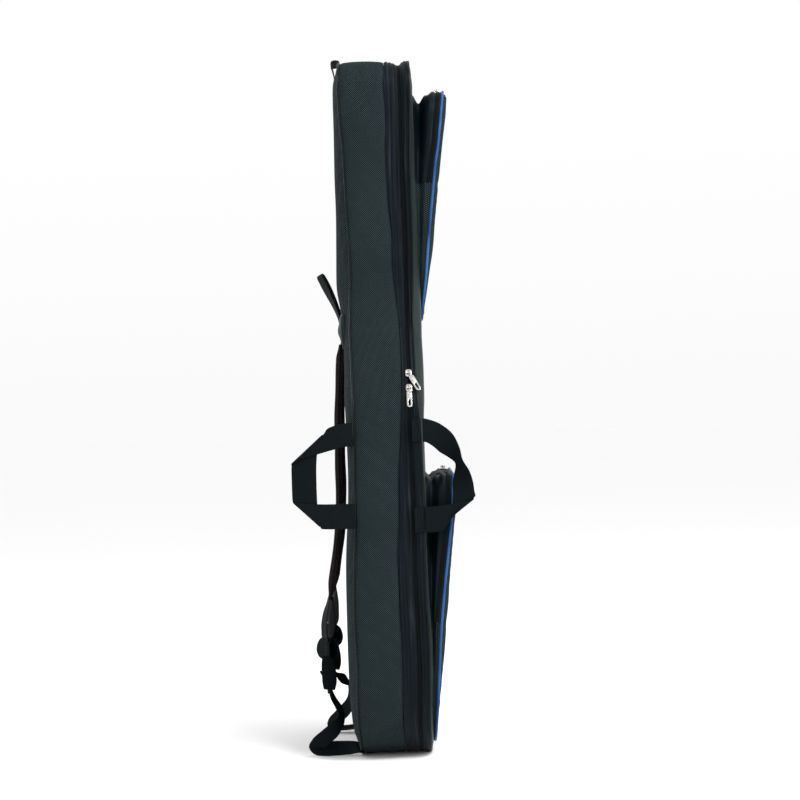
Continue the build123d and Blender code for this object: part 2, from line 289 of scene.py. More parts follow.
def piece(name, vertices, faces, uvs, finish, sharp=50):
    """A mesh object with cloth coordinates in metres, its normals facing outwards."""
    mesh = bpy.data.meshes.new(name)
    mesh.from_pydata(np.asarray(vertices).tolist(), [], np.asarray(faces).tolist())
    layer = mesh.uv_layers.new(name="cloth")
    layer.data.foreach_set("uv", np.asarray(uvs, np.float32).ravel())
    body = bmesh.new()
    body.from_mesh(mesh)
    bmesh.ops.remove_doubles(body, verts=body.verts, dist=1e-6)
    bmesh.ops.dissolve_degenerate(body, edges=body.edges, dist=1e-7)
    bmesh.ops.holes_fill(body, edges=[e for e in body.edges if e.is_boundary])
    bmesh.ops.recalc_face_normals(body, faces=body.faces)
    body.to_mesh(mesh)
    body.free()
    mesh.polygons.foreach_set("use_smooth", [True] * len(mesh.polygons))
    mesh.set_sharp_from_angle(angle=radians(sharp))
    return placed(name, mesh, finish)


def lattice(rows, wrap_rows=False, wrap_columns=False, cloth=None):
    """Vertices, faces and cloth coordinates of a grid of points; either way round may close on itself."""
    rows = np.asarray(rows, float)
    count, width = rows.shape[:2]
    index = np.arange(count * width).reshape(count, width)
    full = rows
    if wrap_rows:
        index, full = np.vstack([index, index[:1]]), np.concatenate([full, full[:1]])
    if wrap_columns:
        index, full = np.hstack([index, index[:, :1]]), np.concatenate([full, full[:, :1]], axis=1)
    if cloth is None:
        across = np.linalg.norm(np.diff(full, axis=1), axis=2).mean(0)
        down = np.linalg.norm(np.diff(full, axis=0), axis=2).mean(1)
        u = np.concatenate([[0], np.cumsum(across)])
        v = np.concatenate([[0], np.cumsum(down)])
        cloth = np.stack(np.meshgrid(u, v), axis=-1)
    corners = [index[:-1, :-1], index[:-1, 1:], index[1:, 1:], index[1:, :-1]]
    faces = np.stack([c.ravel() for c in corners], axis=1)
    coords = [cloth[:-1, :-1], cloth[:-1, 1:], cloth[1:, 1:], cloth[1:, :-1]]
    uvs = np.stack([c.reshape(-1, 2) for c in coords], axis=1)
    return rows.reshape(-1, 3), faces, uvs.reshape(-1, 2)


def band(name, loop, profile, finish, settled=True, sharp=50):
    """A closed wall along a loop; the profile's (inset, y) pairs go once round its section."""
    rows = [loop.row(inset, y) for inset, y in profile]
    rows = settle(rows) if settled else rows
    return piece(name, *lattice(rows, True, loop.closed), finish, sharp)


def pillow(name, front, rear, finish, cloth=None):
    """A closed form between two grids of points, with walls round its border."""
    front, rear = np.asarray(front, float), np.asarray(rear, float)
    if cloth is None:
        cloth = front[..., [X, Z]]
    v1, f1, u1 = lattice(front, cloth=cloth)
    v2, f2, u2 = lattice(rear, cloth=cloth)
    count, width = front.shape[:2]
    index = np.arange(count * width).reshape(count, width)
    edge = np.concatenate([index[0, :-1], index[:-1, -1], index[-1, :0:-1], index[:0:-1, 0]])
    after = np.roll(edge, -1)
    walls = np.stack([edge, after, after + len(v1), edge + len(v1)], axis=1)
    flat = cloth.reshape(-1, 2)
    wall_uvs = flat[np.stack([edge, after, after, edge], axis=1)].reshape(-1, 2)
    faces = np.vstack([f1, f2 + len(v1), walls])
    return piece(name, np.vstack([v1, v2]), faces, np.vstack([u1, u2, wall_uvs]), finish)


def tube(name, path, radius, finish, closed=True, sides=10):
    """A round tube along points."""
    path = np.asarray(path, float)
    ahead = np.roll(path, -1, 0) - np.roll(path, 1, 0) if closed else np.gradient(path, axis=0)
    ahead /= np.linalg.norm(ahead, axis=1)[:, None]
    side = np.cross(ahead, [0, 1, 0])
    side /= np.linalg.norm(side, axis=1)[:, None]
    other = np.cross(ahead, side)
    turns = np.linspace(0, 2 * pi, sides, endpoint=False)
    rows = [path + radius * (cos(t) * side + sin(t) * other) for t in turns]
    return piece(name, *lattice(rows, True, closed), finish, sharp=80)


# Half of webbing's section, in shares of its width and thickness; the other half is its mirror.
WEB_SECTION = [
    (-0.5, 0), (-0.47, 0.42), (-0.42, 0.5), (-0.2, 0.5), (0, 0.5), (0.2, 0.5), (0.42, 0.5), (0.47, 0.42),
]
WEB_SECTION += [(-s, -h) for s, h in WEB_SECTION]


def swept(knots, thickness, section=None, per_span=8):
    """Rows of a strip's outer points along knots of (centre, across), where across has the strip's width."""
    path = smooth_path([[*centre, *across] for centre, across in knots], per_span)
    centre, across = path[:, :3], path[:, 3:]
    facing = np.cross(np.gradient(centre, axis=0), across)
    facing /= np.linalg.norm(facing, axis=1)[:, None]
    thickness = np.reshape(thickness, (-1, 1))
    return [centre + across * s + facing * thickness * h for s, h in section or WEB_SECTION]


def ribbon(name, knots, thickness, finish, section=None, per_span=8):
    """Webbing, or another flat strip, along knots."""
    rows = np.swapaxes(swept(knots, thickness, section, per_span), 0, 1)
    return piece(name, *lattice(rows, False, True), finish, sharp=60)


def joined(name, parts):
    """Several objects as one."""
    bpy.ops.object.select_all(action="DESELECT")
    for part in parts:
        part.select_set(True)
    bpy.context.view_layer.objects.active = parts[0]
    bpy.ops.object.join()
    parts[0].name = name
    return parts[0]


def grain(size):
    """The vertices and faces of one small rounded grain, four rings of six. size: long, wide, high."""
    shape = []
    for share, swell in ((-0.5, 0.35), (-0.3, 0.9), (0.3, 0.9), (0.5, 0.35)):
        for turn in range(6):
            angle = turn * pi / 3
            shape.append((share, 0.5 * swell * cos(angle), 0.5 * swell * sin(angle)))
    faces = []
    for ring in range(3):
        for turn in range(6):
            a, b = ring * 6 + turn, ring * 6 + (turn + 1) % 6
            faces.append((a, b, b + 6, a + 6))
    return np.array(shape) * size, np.array(faces)


def lozenges(name, middles, along, out, size, finish):
    """Many grains in one mesh, such as stitches or zip teeth."""
    shape, faces = grain(size)
    middles, along, out = (np.asarray(a, float) for a in (middles, along, out))
    along = along / np.linalg.norm(along, axis=1)[:, None]
    side = np.cross(out, along)
    side /= np.linalg.norm(side, axis=1)[:, None]
    up = np.cross(along, side)
    axes = np.stack([along, side, up], axis=1)
    vertices = middles[:, None] + shape @ axes
    all_faces = (faces[None] + 24 * np.arange(len(middles))[:, None, None]).reshape(-1, 4)
    caps = [[24 * i + k for k in order] for i in range(len(middles)) for order in (range(6), range(18, 24))]
    mesh = bpy.data.meshes.new(name)
    mesh.from_pydata(vertices.reshape(-1, 3).tolist(), [], all_faces.tolist() + caps)
    body = bmesh.new()
    body.from_mesh(mesh)
    bmesh.ops.recalc_face_normals(body, faces=body.faces)
    body.to_mesh(mesh)
    body.free()
    mesh.uv_layers.new(name="cloth")
    mesh.polygons.foreach_set("use_smooth", [True] * len(mesh.polygons))
    return placed(name, mesh, finish)


def spaced(path, pitch, closed=False, offset=0.0):
    """Points and headings evenly spaced along a path."""
    path = np.asarray(path, float)
    if closed:
        path = np.vstack([path, path[:1]])
    steps = np.linalg.norm(np.diff(path, axis=0), axis=1)
    along = np.concatenate([[0], np.cumsum(steps)])
    places = np.arange(offset, along[-1] - pitch * 0.3, pitch)
    points = np.stack([np.interp(places, along, path[:, k]) for k in range(3)], axis=1)
    later = np.stack([np.interp(places + pitch * 0.4, along, path[:, k]) for k in range(3)], axis=1)
    sooner = np.stack([np.interp(places - pitch * 0.4, along, path[:, k]) for k in range(3)], axis=1)
    return points, later - sooner


def nearest(path, places):
    """The index of the path's point that is nearest to each place."""
    return np.array([np.argmin(((path - place) ** 2).sum(1)) for place in places])


STITCH = (0.0026, 0.0008, 0.0006)  # long, wide, high
STITCH_PITCH = 0.0036


def stitches(name, path, out, closed=False):
    """A row of stitches along a path; out is the way the fabric faces at each of its points."""
    path, out = np.asarray(path, float), np.broadcast_to(out, np.shape(path))
    places, heading = spaced(path, STITCH_PITCH, closed)
    return lozenges(name, places, heading, out[nearest(path, places)], STITCH, "thread")


# ---------------------------------------------------------------- materials

class Shader:
    """A small helper that builds one procedural material."""

    def __init__(self, name, color, roughness, **values):
        self.material = bpy.data.materials.new(name)
        self.material.use_nodes = True
        self.tree = self.material.node_tree
        self.bsdf = self.tree.nodes["Principled BSDF"]
        self.bsdf.inputs["Base Color"].default_value = (*color, 1)
        self.bsdf.inputs["Roughness"].default_value = roughness
        for key, value in values.items():
            self.bsdf.inputs[key.replace("_", " ")].default_value = value
        self.uv = self.node("ShaderNodeUVMap").outputs["UV"]
        self.uv.node.uv_map = "cloth"
        self.place = self.node("ShaderNodeTexCoord").outputs["Object"]

    def node(self, kind, **settings):
        made = self.tree.nodes.new(kind)
        for key, value in settings.items():
            setattr(made, key, value)
        return made

    def link(self, source, target):
        self.tree.links.new(source, target)

    def math(self, operation, *inputs):
        made = self.node("ShaderNodeMath", operation=operation)
        for socket, value in zip(made.inputs, inputs):
            if isinstance(value, (int, float)):
                socket.default_value = value
            else:
                self.link(value, socket)
        return made.outputs[0]

    def noise(self, scale, detail=3, source=None, stretch=None):
        made = self.node("ShaderNodeTexNoise")
        made.inputs["Scale"].default_value = scale
        made.inputs["Detail"].default_value = detail
        source = source or self.place
        if stretch:
            scaled = self.node("ShaderNodeVectorMath", operation="MULTIPLY")
            scaled.inputs[1].default_value = stretch
            self.link(source, scaled.inputs[0])
            source = scaled.outputs[0]
        self.link(source, made.inputs["Vector"])
        return made.outputs["Fac"]

    def wave(self, value, period):
        """A wave of a length in metres, from 0 to 1."""
        turned = self.math("SINE", self.math("MULTIPLY", value, 2 * pi / period))
        return self.math("MULTIPLY_ADD", turned, 0.5, 0.5)

    def cloth(self):
        """The two cloth coordinates."""
        split = self.node("ShaderNodeSeparateXYZ")
        self.link(self.uv, split.inputs[0])
        return split.outputs[0], split.outputs[1]

    def ramp(self, value, *stops):
        """A colour that follows a value through (place, colour) stops."""
        made = self.node("ShaderNodeValToRGB")
        elements = made.color_ramp.elements
        while len(elements) < len(stops):
            elements.new(0.5)
        for element, (place, color) in zip(elements, stops):
            element.position = place
            element.color = (*color, 1)
        self.link(value, made.inputs[0])
        return made.outputs[0]

    def tint(self, color, value, low_share, high_share):
        """A colour that is darkened and lightened by a value from 0 to 1."""
        mix = self.node("ShaderNodeMix", data_type="RGBA", blend_type="MULTIPLY")
        mix.inputs["Factor"].default_value = 1
        self.link(color, mix.inputs["A"])
        share = self.ramp(value, (0, (low_share,) * 3), (1, (high_share,) * 3))
        self.link(share, mix.inputs["B"])
        return mix.outputs["Result"]

    def paint(self, color):
        self.link(color, self.bsdf.inputs["Base Color"])

    def roughen(self, value, low_end, high_end):
        """Roughness that follows a value from 0 to 1."""
        level = self.math("MULTIPLY_ADD", value, high_end - low_end, low_end)
        self.link(level, self.bsdf.inputs["Roughness"])

    def bump(self, *layers):
        """Bumps from (height value, distance in metres, strength) layers."""
        normal = None
        for value, distance, strength in layers:
            made = self.node("ShaderNodeBump")
            made.inputs["Distance"].default_value = distance
            made.inputs["Strength"].default_value = strength
            self.link(value, made.inputs["Height"])
            if normal is not None:
                self.link(normal, made.inputs["Normal"])
            normal = made.outputs["Normal"]
        self.link(normal, self.bsdf.inputs["Normal"])


TINTED = {"Specular_Tint": (0.72, 0.94, 1.0, 1)}  # dyed nylon's cool green-blue gloss


def ballistic():
    """Coarse ballistic nylon: a diagonal lattice of light crossings on a green-black ground."""
    made = Shader("ballistic_nylon", (0.012, 0.02, 0.021), 0.7, Specular_IOR_Level=0.08, **TINTED)
    u, v = made.cloth()
    wobble = made.math("MULTIPLY", made.noise(60, 2), 0.0012)
    first = made.wave(made.math("ADD", made.math("ADD", u, v), wobble), 0.0032)
    second = made.wave(made.math("SUBTRACT", made.math("SUBTRACT", u, v), wobble), 0.0032)
    dots = made.math("MULTIPLY", first, second)
    patches = made.noise(9, 4)
    ground, slope, crossing = (0.0008, 0.0018, 0.002), (0.0075, 0.0145, 0.016), (0.085, 0.125, 0.132)
    base = made.ramp(dots, (0.18, ground), (0.5, slope), (0.85, crossing))
    made.paint(made.tint(base, patches, 0.62, 1.12))
    made.roughen(dots, 0.8, 0.6)
    made.bump((made.noise(35, 4), 0.0012, 0.35), (dots, 0.0005, 0.8))
    return made.material


def smooth_nylon():
    """Fine, slightly glossy nylon with soft creases along the band, painted darker in their hollows (painted
    shade) and with painted highlight streaks along them.
    """
    made = Shader("smooth_nylon", (0.002, 0.004, 0.006), 0.5, Specular_IOR_Level=0.1, **TINTED)
    u, v = made.cloth()
    fine = made.math("MULTIPLY", made.wave(u, 0.0011), made.wave(v, 0.0011))
    creases = made.noise(1, 3, made.uv, (7, 260, 1))
    # The crease noise's colour is painted light: the darkest stop is painted shade in the creases, and the
    # lightest stop is painted highlight streaks on them.
    deep, plain, painted_streak_highlight = (0.0007, 0.0015, 0.0024), (0.0026, 0.005, 0.0075), (0.016, 0.023, 0.028)
    base = made.ramp(creases, (0.35, deep), (0.6, plain), (0.74, painted_streak_highlight))
    made.paint(made.tint(base, fine, 0.85, 1.15))
    made.roughen(made.noise(30, 3), 0.42, 0.6)
    made.bump((creases, 0.0016, 0.45), (fine, 0.0002, 0.5))
    return made.material


def satin():
    """The lid's satin cloth, lighter where it catches the light."""
    sheen = {"Sheen_Weight": 0.08, "Sheen_Roughness": 0.35, "Sheen_Tint": (0.8, 1, 0.95, 1)}
    made = Shader("lid_satin", (0.01, 0.013, 0.012), 0.5, Specular_IOR_Level=0.15, **sheen, **TINTED)
    u, v = made.cloth()
    fine = made.math("MULTIPLY", made.wave(u, 0.0009), made.wave(v, 0.0009))
    clouds = made.noise(14, 4, None, (1, 1, 0.35))
    base = made.ramp(clouds, (0.3, (0.005, 0.0085, 0.008)), (0.7, (0.014, 0.021, 0.019)))
    made.paint(made.tint(base, fine, 0.88, 1.12))
    made.roughen(clouds, 0.42, 0.58)
    made.bump((made.noise(40, 4), 0.001, 0.4), (fine, 0.00015, 0.5))
    return made.material


def webbing():
    """Ribbed polypropylene webbing with a herringbone."""
    made = Shader("webbing", (0.003, 0.004, 0.005), 0.6, Specular_IOR_Level=0.09, **TINTED)
    u, v = made.cloth()
    ribs = made.wave(v, 0.0022)
    slant = made.wave(made.math("ADD", made.math("ABSOLUTE", u), made.math("MULTIPLY", v, 0.6)), 0.0016)
    weave = made.math("MULTIPLY", ribs, slant)
    base = made.ramp(weave, (0.1, (0.0008, 0.0014, 0.0019)), (0.8, (0.0050, 0.0066, 0.0085)))
    made.paint(made.tint(base, made.noise(25, 3), 0.8, 1.2))
    made.roughen(weave, 0.72, 0.52)
    made.bump((weave, 0.0004, 0.8), (made.noise(120, 2), 0.0003, 0.3))
    return made.material


def mesh_cloth():
    """Air mesh: small open cells in a dark red-brown knit."""
    made = Shader("air_mesh", (0.006, 0.003, 0.003), 0.7, Specular_IOR_Level=0.1)
    cells = made.node("ShaderNodeTexVoronoi", feature="DISTANCE_TO_EDGE")
    cells.inputs["Scale"].default_value = 330
    cells.inputs["Randomness"].default_value = 0.35
    made.link(made.uv, cells.inputs["Vector"])
    edge = made.math("MULTIPLY", cells.outputs["Distance"], 2.6)
    knit, wall, hole = (0.042, 0.029, 0.031), (0.008, 0.0042, 0.0048), (0.001, 0.0005, 0.0006)
    base = made.ramp(edge, (0.05, knit), (0.4, wall), (0.8, hole))
    made.paint(made.tint(base, made.noise(20, 3), 0.8, 1.2))
    made.bump((made.math("SUBTRACT", 1, edge), 0.0008, 0.9))
    return made.material


def binding():
    """Fine woven tape: bindings and zip tape."""
    made = Shader("woven_tape", (0.003, 0.004, 0.005), 0.6, Specular_IOR_Level=0.12)
    u, v = made.cloth()
    weave = made.math("MULTIPLY", made.wave(u, 0.0008), made.wave(v, 0.0012))
    made.paint(made.ramp(weave, (0, (0.001, 0.0015, 0.002)), (1, (0.007, 0.008, 0.010))))
    made.bump((weave, 0.0002, 0.7))
    return made.material


def lining():
    """Brushed grey lining."""
    made = Shader("brushed_lining", (0.05, 0.055, 0.06), 0.9, Sheen_Weight=0.3, Sheen_Roughness=0.5)
    fibres = made.noise(500, 3)
    made.paint(made.ramp(made.noise(25, 4), (0.3, (0.04, 0.044, 0.05)), (0.7, (0.07, 0.076, 0.084))))
    made.bump((fibres, 0.0005, 0.5))
    return made.material


def vinyl(name, dark, light, gloss):
    """Piping: glossy plastic over a cord, with faint scuffs and a slow change of shade."""
    coat = {"Coat_Weight": 0.04, "Coat_Roughness": 0.15}
    made = Shader(name, light, gloss, Specular_IOR_Level=0.14, **coat, **TINTED)
    made.paint(made.ramp(made.noise(18, 4), (0.3, dark), (0.7, light)))
    made.roughen(made.noise(90, 3), gloss - 0.06, gloss + 0.14)
    made.bump((made.noise(70, 3), 0.0004, 0.3))
    return made.material


def moulded(name, color, roughness):
    """Moulded plastic with a fine spark-eroded grain."""
    made = Shader(name, color, roughness, Specular_IOR_Level=0.12)
    shade = made.noise(60, 3)
    made.paint(made.ramp(shade, (0.3, tuple(c * 0.8 for c in color)), (0.7, tuple(c * 1.25 for c in color))))
    made.roughen(shade, roughness - 0.08, roughness + 0.08)
    made.bump((made.noise(1500, 2), 0.0001, 0.4))
    return made.material


def nickel():
    """Plated zip hardware, lightly brushed and scuffed."""
    made = Shader("nickel", (0.5, 0.49, 0.46), 0.25, Metallic=1.0)
    scuffs = made.noise(420, 4)
    made.paint(made.ramp(scuffs, (0.3, (0.34, 0.335, 0.31)), (0.65, (0.62, 0.61, 0.58))))
    made.roughen(scuffs, 0.14, 0.36)
    made.bump((scuffs, 0.0001, 0.3))
    return made.material


MATERIALS = {
    "ballistic": ballistic(),
    "smooth_nylon": smooth_nylon(),
    "satin": satin(),
    "webbing": webbing(),
    "mesh": mesh_cloth(),
    "zip_tape": binding(),
    "lining": lining(),
    "black_piping": vinyl("black_piping", (0.001, 0.002, 0.002), (0.004, 0.006, 0.006), 0.35),
    "blue_piping": vinyl("blue_piping", (0.008, 0.035, 0.14), (0.028, 0.115, 0.30), 0.36),
    "zip_coil": moulded("zip_coil", (0.002, 0.0025, 0.003), 0.5),
    "buckle": moulded("buckle_plastic", (0.004, 0.005, 0.006), 0.4),
    "thread": moulded("thread", (0.006, 0.008, 0.009), 0.55),
    "nickel": nickel(),
}


def dress(thing, body, *nodes, padding=None):
    """Puts a finished piece on its body, in place of CAD nodes."""
    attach(thing, body)
    if nodes:
        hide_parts(*nodes)
    return thing


# ---------------------------------------------------------------- the tub and the lid's rim

def valley(points, y):
    """How deep the zip's valley is at a depth, for places along the bag's outline."""
    places = np.column_stack([points[:, 0], np.zeros(len(points)), points[:, 1]])
    upper = ease(points[:, 1], 0.68, 0.9) * 0.0022
    deep = (0.0036 + upper) * (1 - slider_zone(places)) * ease(points[:, 1], 0.0, 0.04)
    deep = deep * (1 - 0.6 * in_hinge(points))
    return deep * bell(y, ZIP_MIDDLE, 0.0085) + 0.0002


def in_hinge(points):
    """1 along the stretch of the outline where the fabric hinge is."""
    z, x = points[:, 1], points[:, 0]
    return (ease(z, HINGE_LOW - 0.02, HINGE_LOW) * (1 - ease(z, HINGE_HIGH, HINGE_HIGH + 0.02))) * (x > 0)


def standing(loop):
    """0 on the flat bottom, 1 everywhere else."""
    return ease(loop.heights, 0.004, 0.05)


def side_profile():
    """The textured side: outside from the back seam to the band line, then back along the foam."""
    edge = at_height(BAG.heights, BAND_LINE)
    rows = []
    for share in np.linspace(0, 1, 17):
        y = BACK_EDGE + (edge - BACK_EDGE) * share
        crown = 0.0032 * standing(BAG) * (1 - (2 * share - 1) ** 2) ** 0.7
        pinch = 0.0007 * (bell(share, 0, 0.03) + bell(share, 1, 0.03))
        rows.append((-crown + pinch + valley(BAG.points, y), y))
    rows.append((valley(BAG.points, edge) + 0.0022, edge + 0.0003))
    rows.append((SKIN, edge + 0.001))
    rows.append((SKIN, BACK_EDGE))
    return rows


def ripple_out(loop, profile, amount, wavelength, seed):
    """The profile with its outer rows pushed in and out by soft waves along the loop."""
    rows = []
    for inset, y in profile:
        places = loop.row(inset, y)
        outer = np.broadcast_to(inset, len(loop.points)) < SKIN * 0.6
        push = amount * ripple(places, wavelength, seed) * standing(loop) * (1 - slider_zone(places))
        rows.append((inset - push * outer, y))
    return rows


def band_profile():
    """The smooth zip band: from the textured side down into the zip's valley, and back underneath."""
    edge = at_height(BAG.heights, BAND_LINE)
    rows = []
    for share in np.linspace(0, 1, 15):
        y = edge - 0.0004 + (BAND_FRONT - edge) * share
        lift = 0.0011 * standing(BAG) * bell(share, 0.12, 0.12)
        places = BAG.row(0, y)
        pleats = 0.0006 * standing(BAG) * np.sin(y / 0.0052 * 2 * pi + 1.5 * ripple(places, 0.3, 9))
        pleats = pleats * (1 - slider_zone(places)) * (1 - bell(share, 1, 0.15))
        rows.append((-lift + pleats + valley(BAG.points, y), y))
    tip = valley(BAG.points, BAND_FRONT)
    rows.append((tip + 0.0008, BAND_FRONT - 0.0006))
    rows.append((tip + 0.0018, BAND_FRONT + 0.0004))
    rows.append((np.maximum(tip + 0.0028, 0.004), BAND_FRONT + 0.004))
    rows.append((SKIN, BAND_FRONT + 0.005))
    rows.append((SKIN, edge - 0.0002))
    rows.append((valley(BAG.points, edge) + 0.0022, edge - 0.0002))
    return rows


def lid_side_profile():
    """The lid's narrow side: from its seam to the valley's edge, and back along its own foam."""
    edge = at_height(BAG.heights, LID_EDGE_LINE)
    rows = []
    for share in np.linspace(0, 1, 11):
        y = LID_BACK + (edge - LID_BACK) * share
        lift = 0.0014 * standing(BAG) * np.sin(pi * share)
        places = BAG.row(0, y)
        pleats = 0.0005 * standing(BAG) * np.sin(y / 0.0045 * 2 * pi + 2 * ripple(places, 0.25, 12))
        rows.append((-lift + pleats * (1 - slider_zone(places)) + valley(BAG.points, y), y))
    tip = valley(BAG.points, LID_BACK)
    rows.append((LID_SKIN, edge))
    rows.append((LID_SKIN, np.minimum(LID_BACK - 0.004, edge + 0.004)))
    rows.append((np.maximum(tip + 0.0028, 0.004), LID_BACK - 0.004))
    rows.append((tip + 0.0018, LID_BACK - 0.0002))
    rows.append((tip + 0.0008, LID_BACK + 0.0005))
    return rows


def flat_ring(inset, thickness, y_back, y_front):
    """The profile of a thin strip that follows the outline."""
    middle = (y_back + y_front) / 2
    return [
        (inset, y_back), (inset, middle), (inset, y_front),
        (inset + thickness, y_front), (inset + thickness, middle), (inset + thickness, y_back),
    ]


def open_zip(loop):
    """The outline without the fabric hinge's stretch."""
    x, z = loop.points[:, 0], loop.points[:, 1]
    return loop.stretch(~((x > 0) & (z > HINGE_LOW) & (z < HINGE_HIGH)))


TOOTH_PITCH = 0.0025
TOOTH = (0.0034, 0.0013, 0.0020)  # long, wide, high
TOOTH_SLANT = 0.12
TOOTH_OFFSET = 0.0007  # from the zip's middle to a row of teeth


def coil(name, places, heading, out):
    """One row of a zip's teeth, each set slightly askew."""
    across = np.broadcast_to([0.0, 1.0, 0.0], places.shape) + TOOTH_SLANT * heading / TOOTH_PITCH
    return lozenges(name, places, across, out, TOOTH, "zip_coil")


def main_zip():
    """Both tapes and both rows of the coil's teeth."""
    loop = open_zip(BAG)
    depth = valley(loop.points, ZIP_MIDDLE)
    for half, body, facing in (("back", "shell", 1), ("front", "lid", -1)):
        near, far = ZIP_MIDDLE + facing * 0.0001, ZIP_MIDDLE + facing * 0.009
        profile = flat_ring(depth + 0.0016, 0.0009, max(near, far), min(near, far))
        dress(band(f"main_tape_{half}", loop, profile, "zip_tape"), body, f"zip_tape_{body}")
        line = settle(loop.row(depth + 0.0009, ZIP_MIDDLE + facing * TOOTH_OFFSET))
        places, heading = spaced(line, TOOTH_PITCH, False, 0 if facing > 0 else TOOTH_PITCH / 2)
        share = np.linspace(0, len(places) - 1, len(loop.points))
        out = np.stack([np.interp(np.arange(len(places)), share, way) for way in loop.outward.T], axis=1)
        dress(coil(f"main_teeth_{half}", places, heading, out), body, f"zip_coil_{body}")


def topstitching():
    """Rows of stitches beside the seams of the side."""
    edge = at_height(BAG.heights, BAND_LINE)
    order = in_order(BAG.heights > 0.012)
    for name, y, body in (
        ("band_stitches", edge - 0.0035, "shell"),
        ("zip_stitches_back", np.full(len(edge), BAND_FRONT + 0.0028), "shell"),
        ("zip_stitches_front", np.full(len(edge), LID_BACK - 0.0028), "lid"),
    ):
        row = settle(BAG.row(valley(BAG.points, y) - 0.0006, y))
        dress(stitches(name, row[order], BAG.outward[order]), body)


def rim():
    """The sides of the tub and the lid, their linings, piping and zip."""
    side = band("gusset", BAG, ripple_out(BAG, side_profile(), 0.0011, 0.11, 21), "ballistic")
    dress(side, "shell", "gusset_outer", "gusset_foam", padding=0.7)
    dress(band("zip_band", BAG, ripple_out(BAG, band_profile(), 0.0007, 0.07, 22), "smooth_nylon"), "shell",
          "gusset_zip_band")
    lid_side = band("lid_side", BAG, ripple_out(BAG, lid_side_profile(), 0.0006, 0.07, 23), "smooth_nylon")
    dress(lid_side, "lid", "lid_gusset")
    inner = flat_ring(SKIN + 0.0001, LINING, BACK_EDGE - 0.0002, BAND_FRONT + 0.0004)
    dress(band("side_lining", BAG, inner, "lining"), "shell", "gusset_lining")
    back_line = settle(BAG.row(0.0011, BACK_EDGE + 0.0019))
    dress(tube("back_seam_piping", back_line, PIPING_RADIUS, "black_piping"), "shell", "back_piping")
    front_line = settle(BAG.row(0.0012, at_height(BAG.heights, LID_EDGE_LINE) - 0.0016))
    dress(tube("lid_seam_piping", front_line, PIPING_RADIUS, "black_piping"), "lid", "lid_piping")
    main_zip()
    topstitching()


def hinge():
    """The strip of fabric that joins the lid to the tub."""
    z = BAG.heights
    loop = BAG.stretch((BAG.points[:, 0] > 0) & (z > HINGE_LOW - 0.004) & (z < HINGE_HIGH + 0.004))
    profile = []
    for y in np.linspace(BAND_BACK - 0.006, LID_EDGE + 0.005, 13):
        profile.append((valley(loop.points, y) - 0.0016 - 0.0004 * np.sin(y / 0.004), y))
    profile += [(inset + 0.0011, y) for inset, y in reversed(profile)]
    strip = band("lid_hinge_cloth", loop, profile, "smooth_nylon")
    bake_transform(strip)
    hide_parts("lid_hinge_strip")


# ---------------------------------------------------------------- padded panels

def panel_grid(loop, z_low, z_high, inset, columns=61, pitch=0.007):
    """Rows of (x, z) places that fill a symmetric loop between two heights, closer near its border."""
    count = max(8, round((z_high - z_low) / pitch))
    t = np.linspace(0, 1, count + 1)
    z = z_low + (z_high - z_low) * (0.75 * t + 0.25 * (1 - np.cos(pi * t)) / 2)
    s = np.linspace(-1, 1, columns)
    s = 0.6 * s + 0.4 * np.sin(pi * s / 2)
    half = loop.half_width(z, inset)
    return half[:, None] * s[None, :], np.repeat(z[:, None], columns, axis=1)


def rise(distance, width):
    """How far padding has risen, from 0 at its seam to 1 where it is full."""
    t = np.clip(np.asarray(distance) / width, 0, 1)
    return np.sin(t * pi / 2) ** 0.75


def back_panel():
    """The padded back, domed between its seams, with a shallow dent under the yoke."""
    inset = 0.0016
    x, z = panel_grid(BAG, 0.002, 1.0885, inset, columns=71)
    gap = BAG.distance(x, z) - inset
    edge = BACK_EDGE + 0.0012
    shift = at_height(z, BACK_SEAM_SHIFT)
    crest = at_height(z, BACK_CREST_LINE) - shift
    y = edge + (crest - edge) * rise(gap, 0.034)
    places = np.stack([x, y, z], -1)
    puckers = 0.0012 * bell(gap, 0.007, 0.006) * np.sin((x + z) / 0.0065 + 2 * ripple(places, 0.1, 31))
    waves = 0.0016 * ease(gap, 0.006, 0.04) * ripple(places, 0.14, 32, (1, 1, 0.7))
    under = 1 - ease(z, 0.57, 0.6) * (1 - ease(z, 0.7, 0.74))
    strap_x = STRAP_TOP[0] + (STRAP_FOOT_X - STRAP_TOP[0]) * (STRAP_TOP[1] - z) / STRAP_TOP[1]
    bed = bell(np.abs(x), strap_x, 0.038) * ease(z, 0.22, 0.3) * (1 - ease(z, 0.54, 0.6))
    y = y + (puckers + waves * (1 - bed)) * under - 0.0024 * bed
    front = settle(np.stack([x, y, z], -1))
    rear = settle(np.stack([x, np.full_like(y, BACK_EDGE - 0.0002), z], -1))
    panel = pillow("back_panel", front, rear, "ballistic")
    dress(panel, "shell", "back_panel_outer", "back_panel_foam", padding=0.6)
    x, z = panel_grid(BAG, 0.0105, 1.0795, SKIN + 0.0004)
    gap = BAG.distance(x, z) - SKIN
    puff = 0.0012 * rise(gap, 0.02) + 0.0006 * ripple(np.stack([x, x * 0, z], -1), 0.06, 33)
    front = settle(np.stack([x, BACK_EDGE - 0.0012 - puff, z], -1))
    rear = settle(np.stack([x, np.full_like(x, BACK_EDGE - 0.0003), z], -1))
    dress(pillow("back_lining", front, rear, "lining"), "shell", "back_panel_lining")


def lid_crest(z):
    """How far forward the lid's padding reaches."""
    return at_height(z, LID_CREST_LINE)


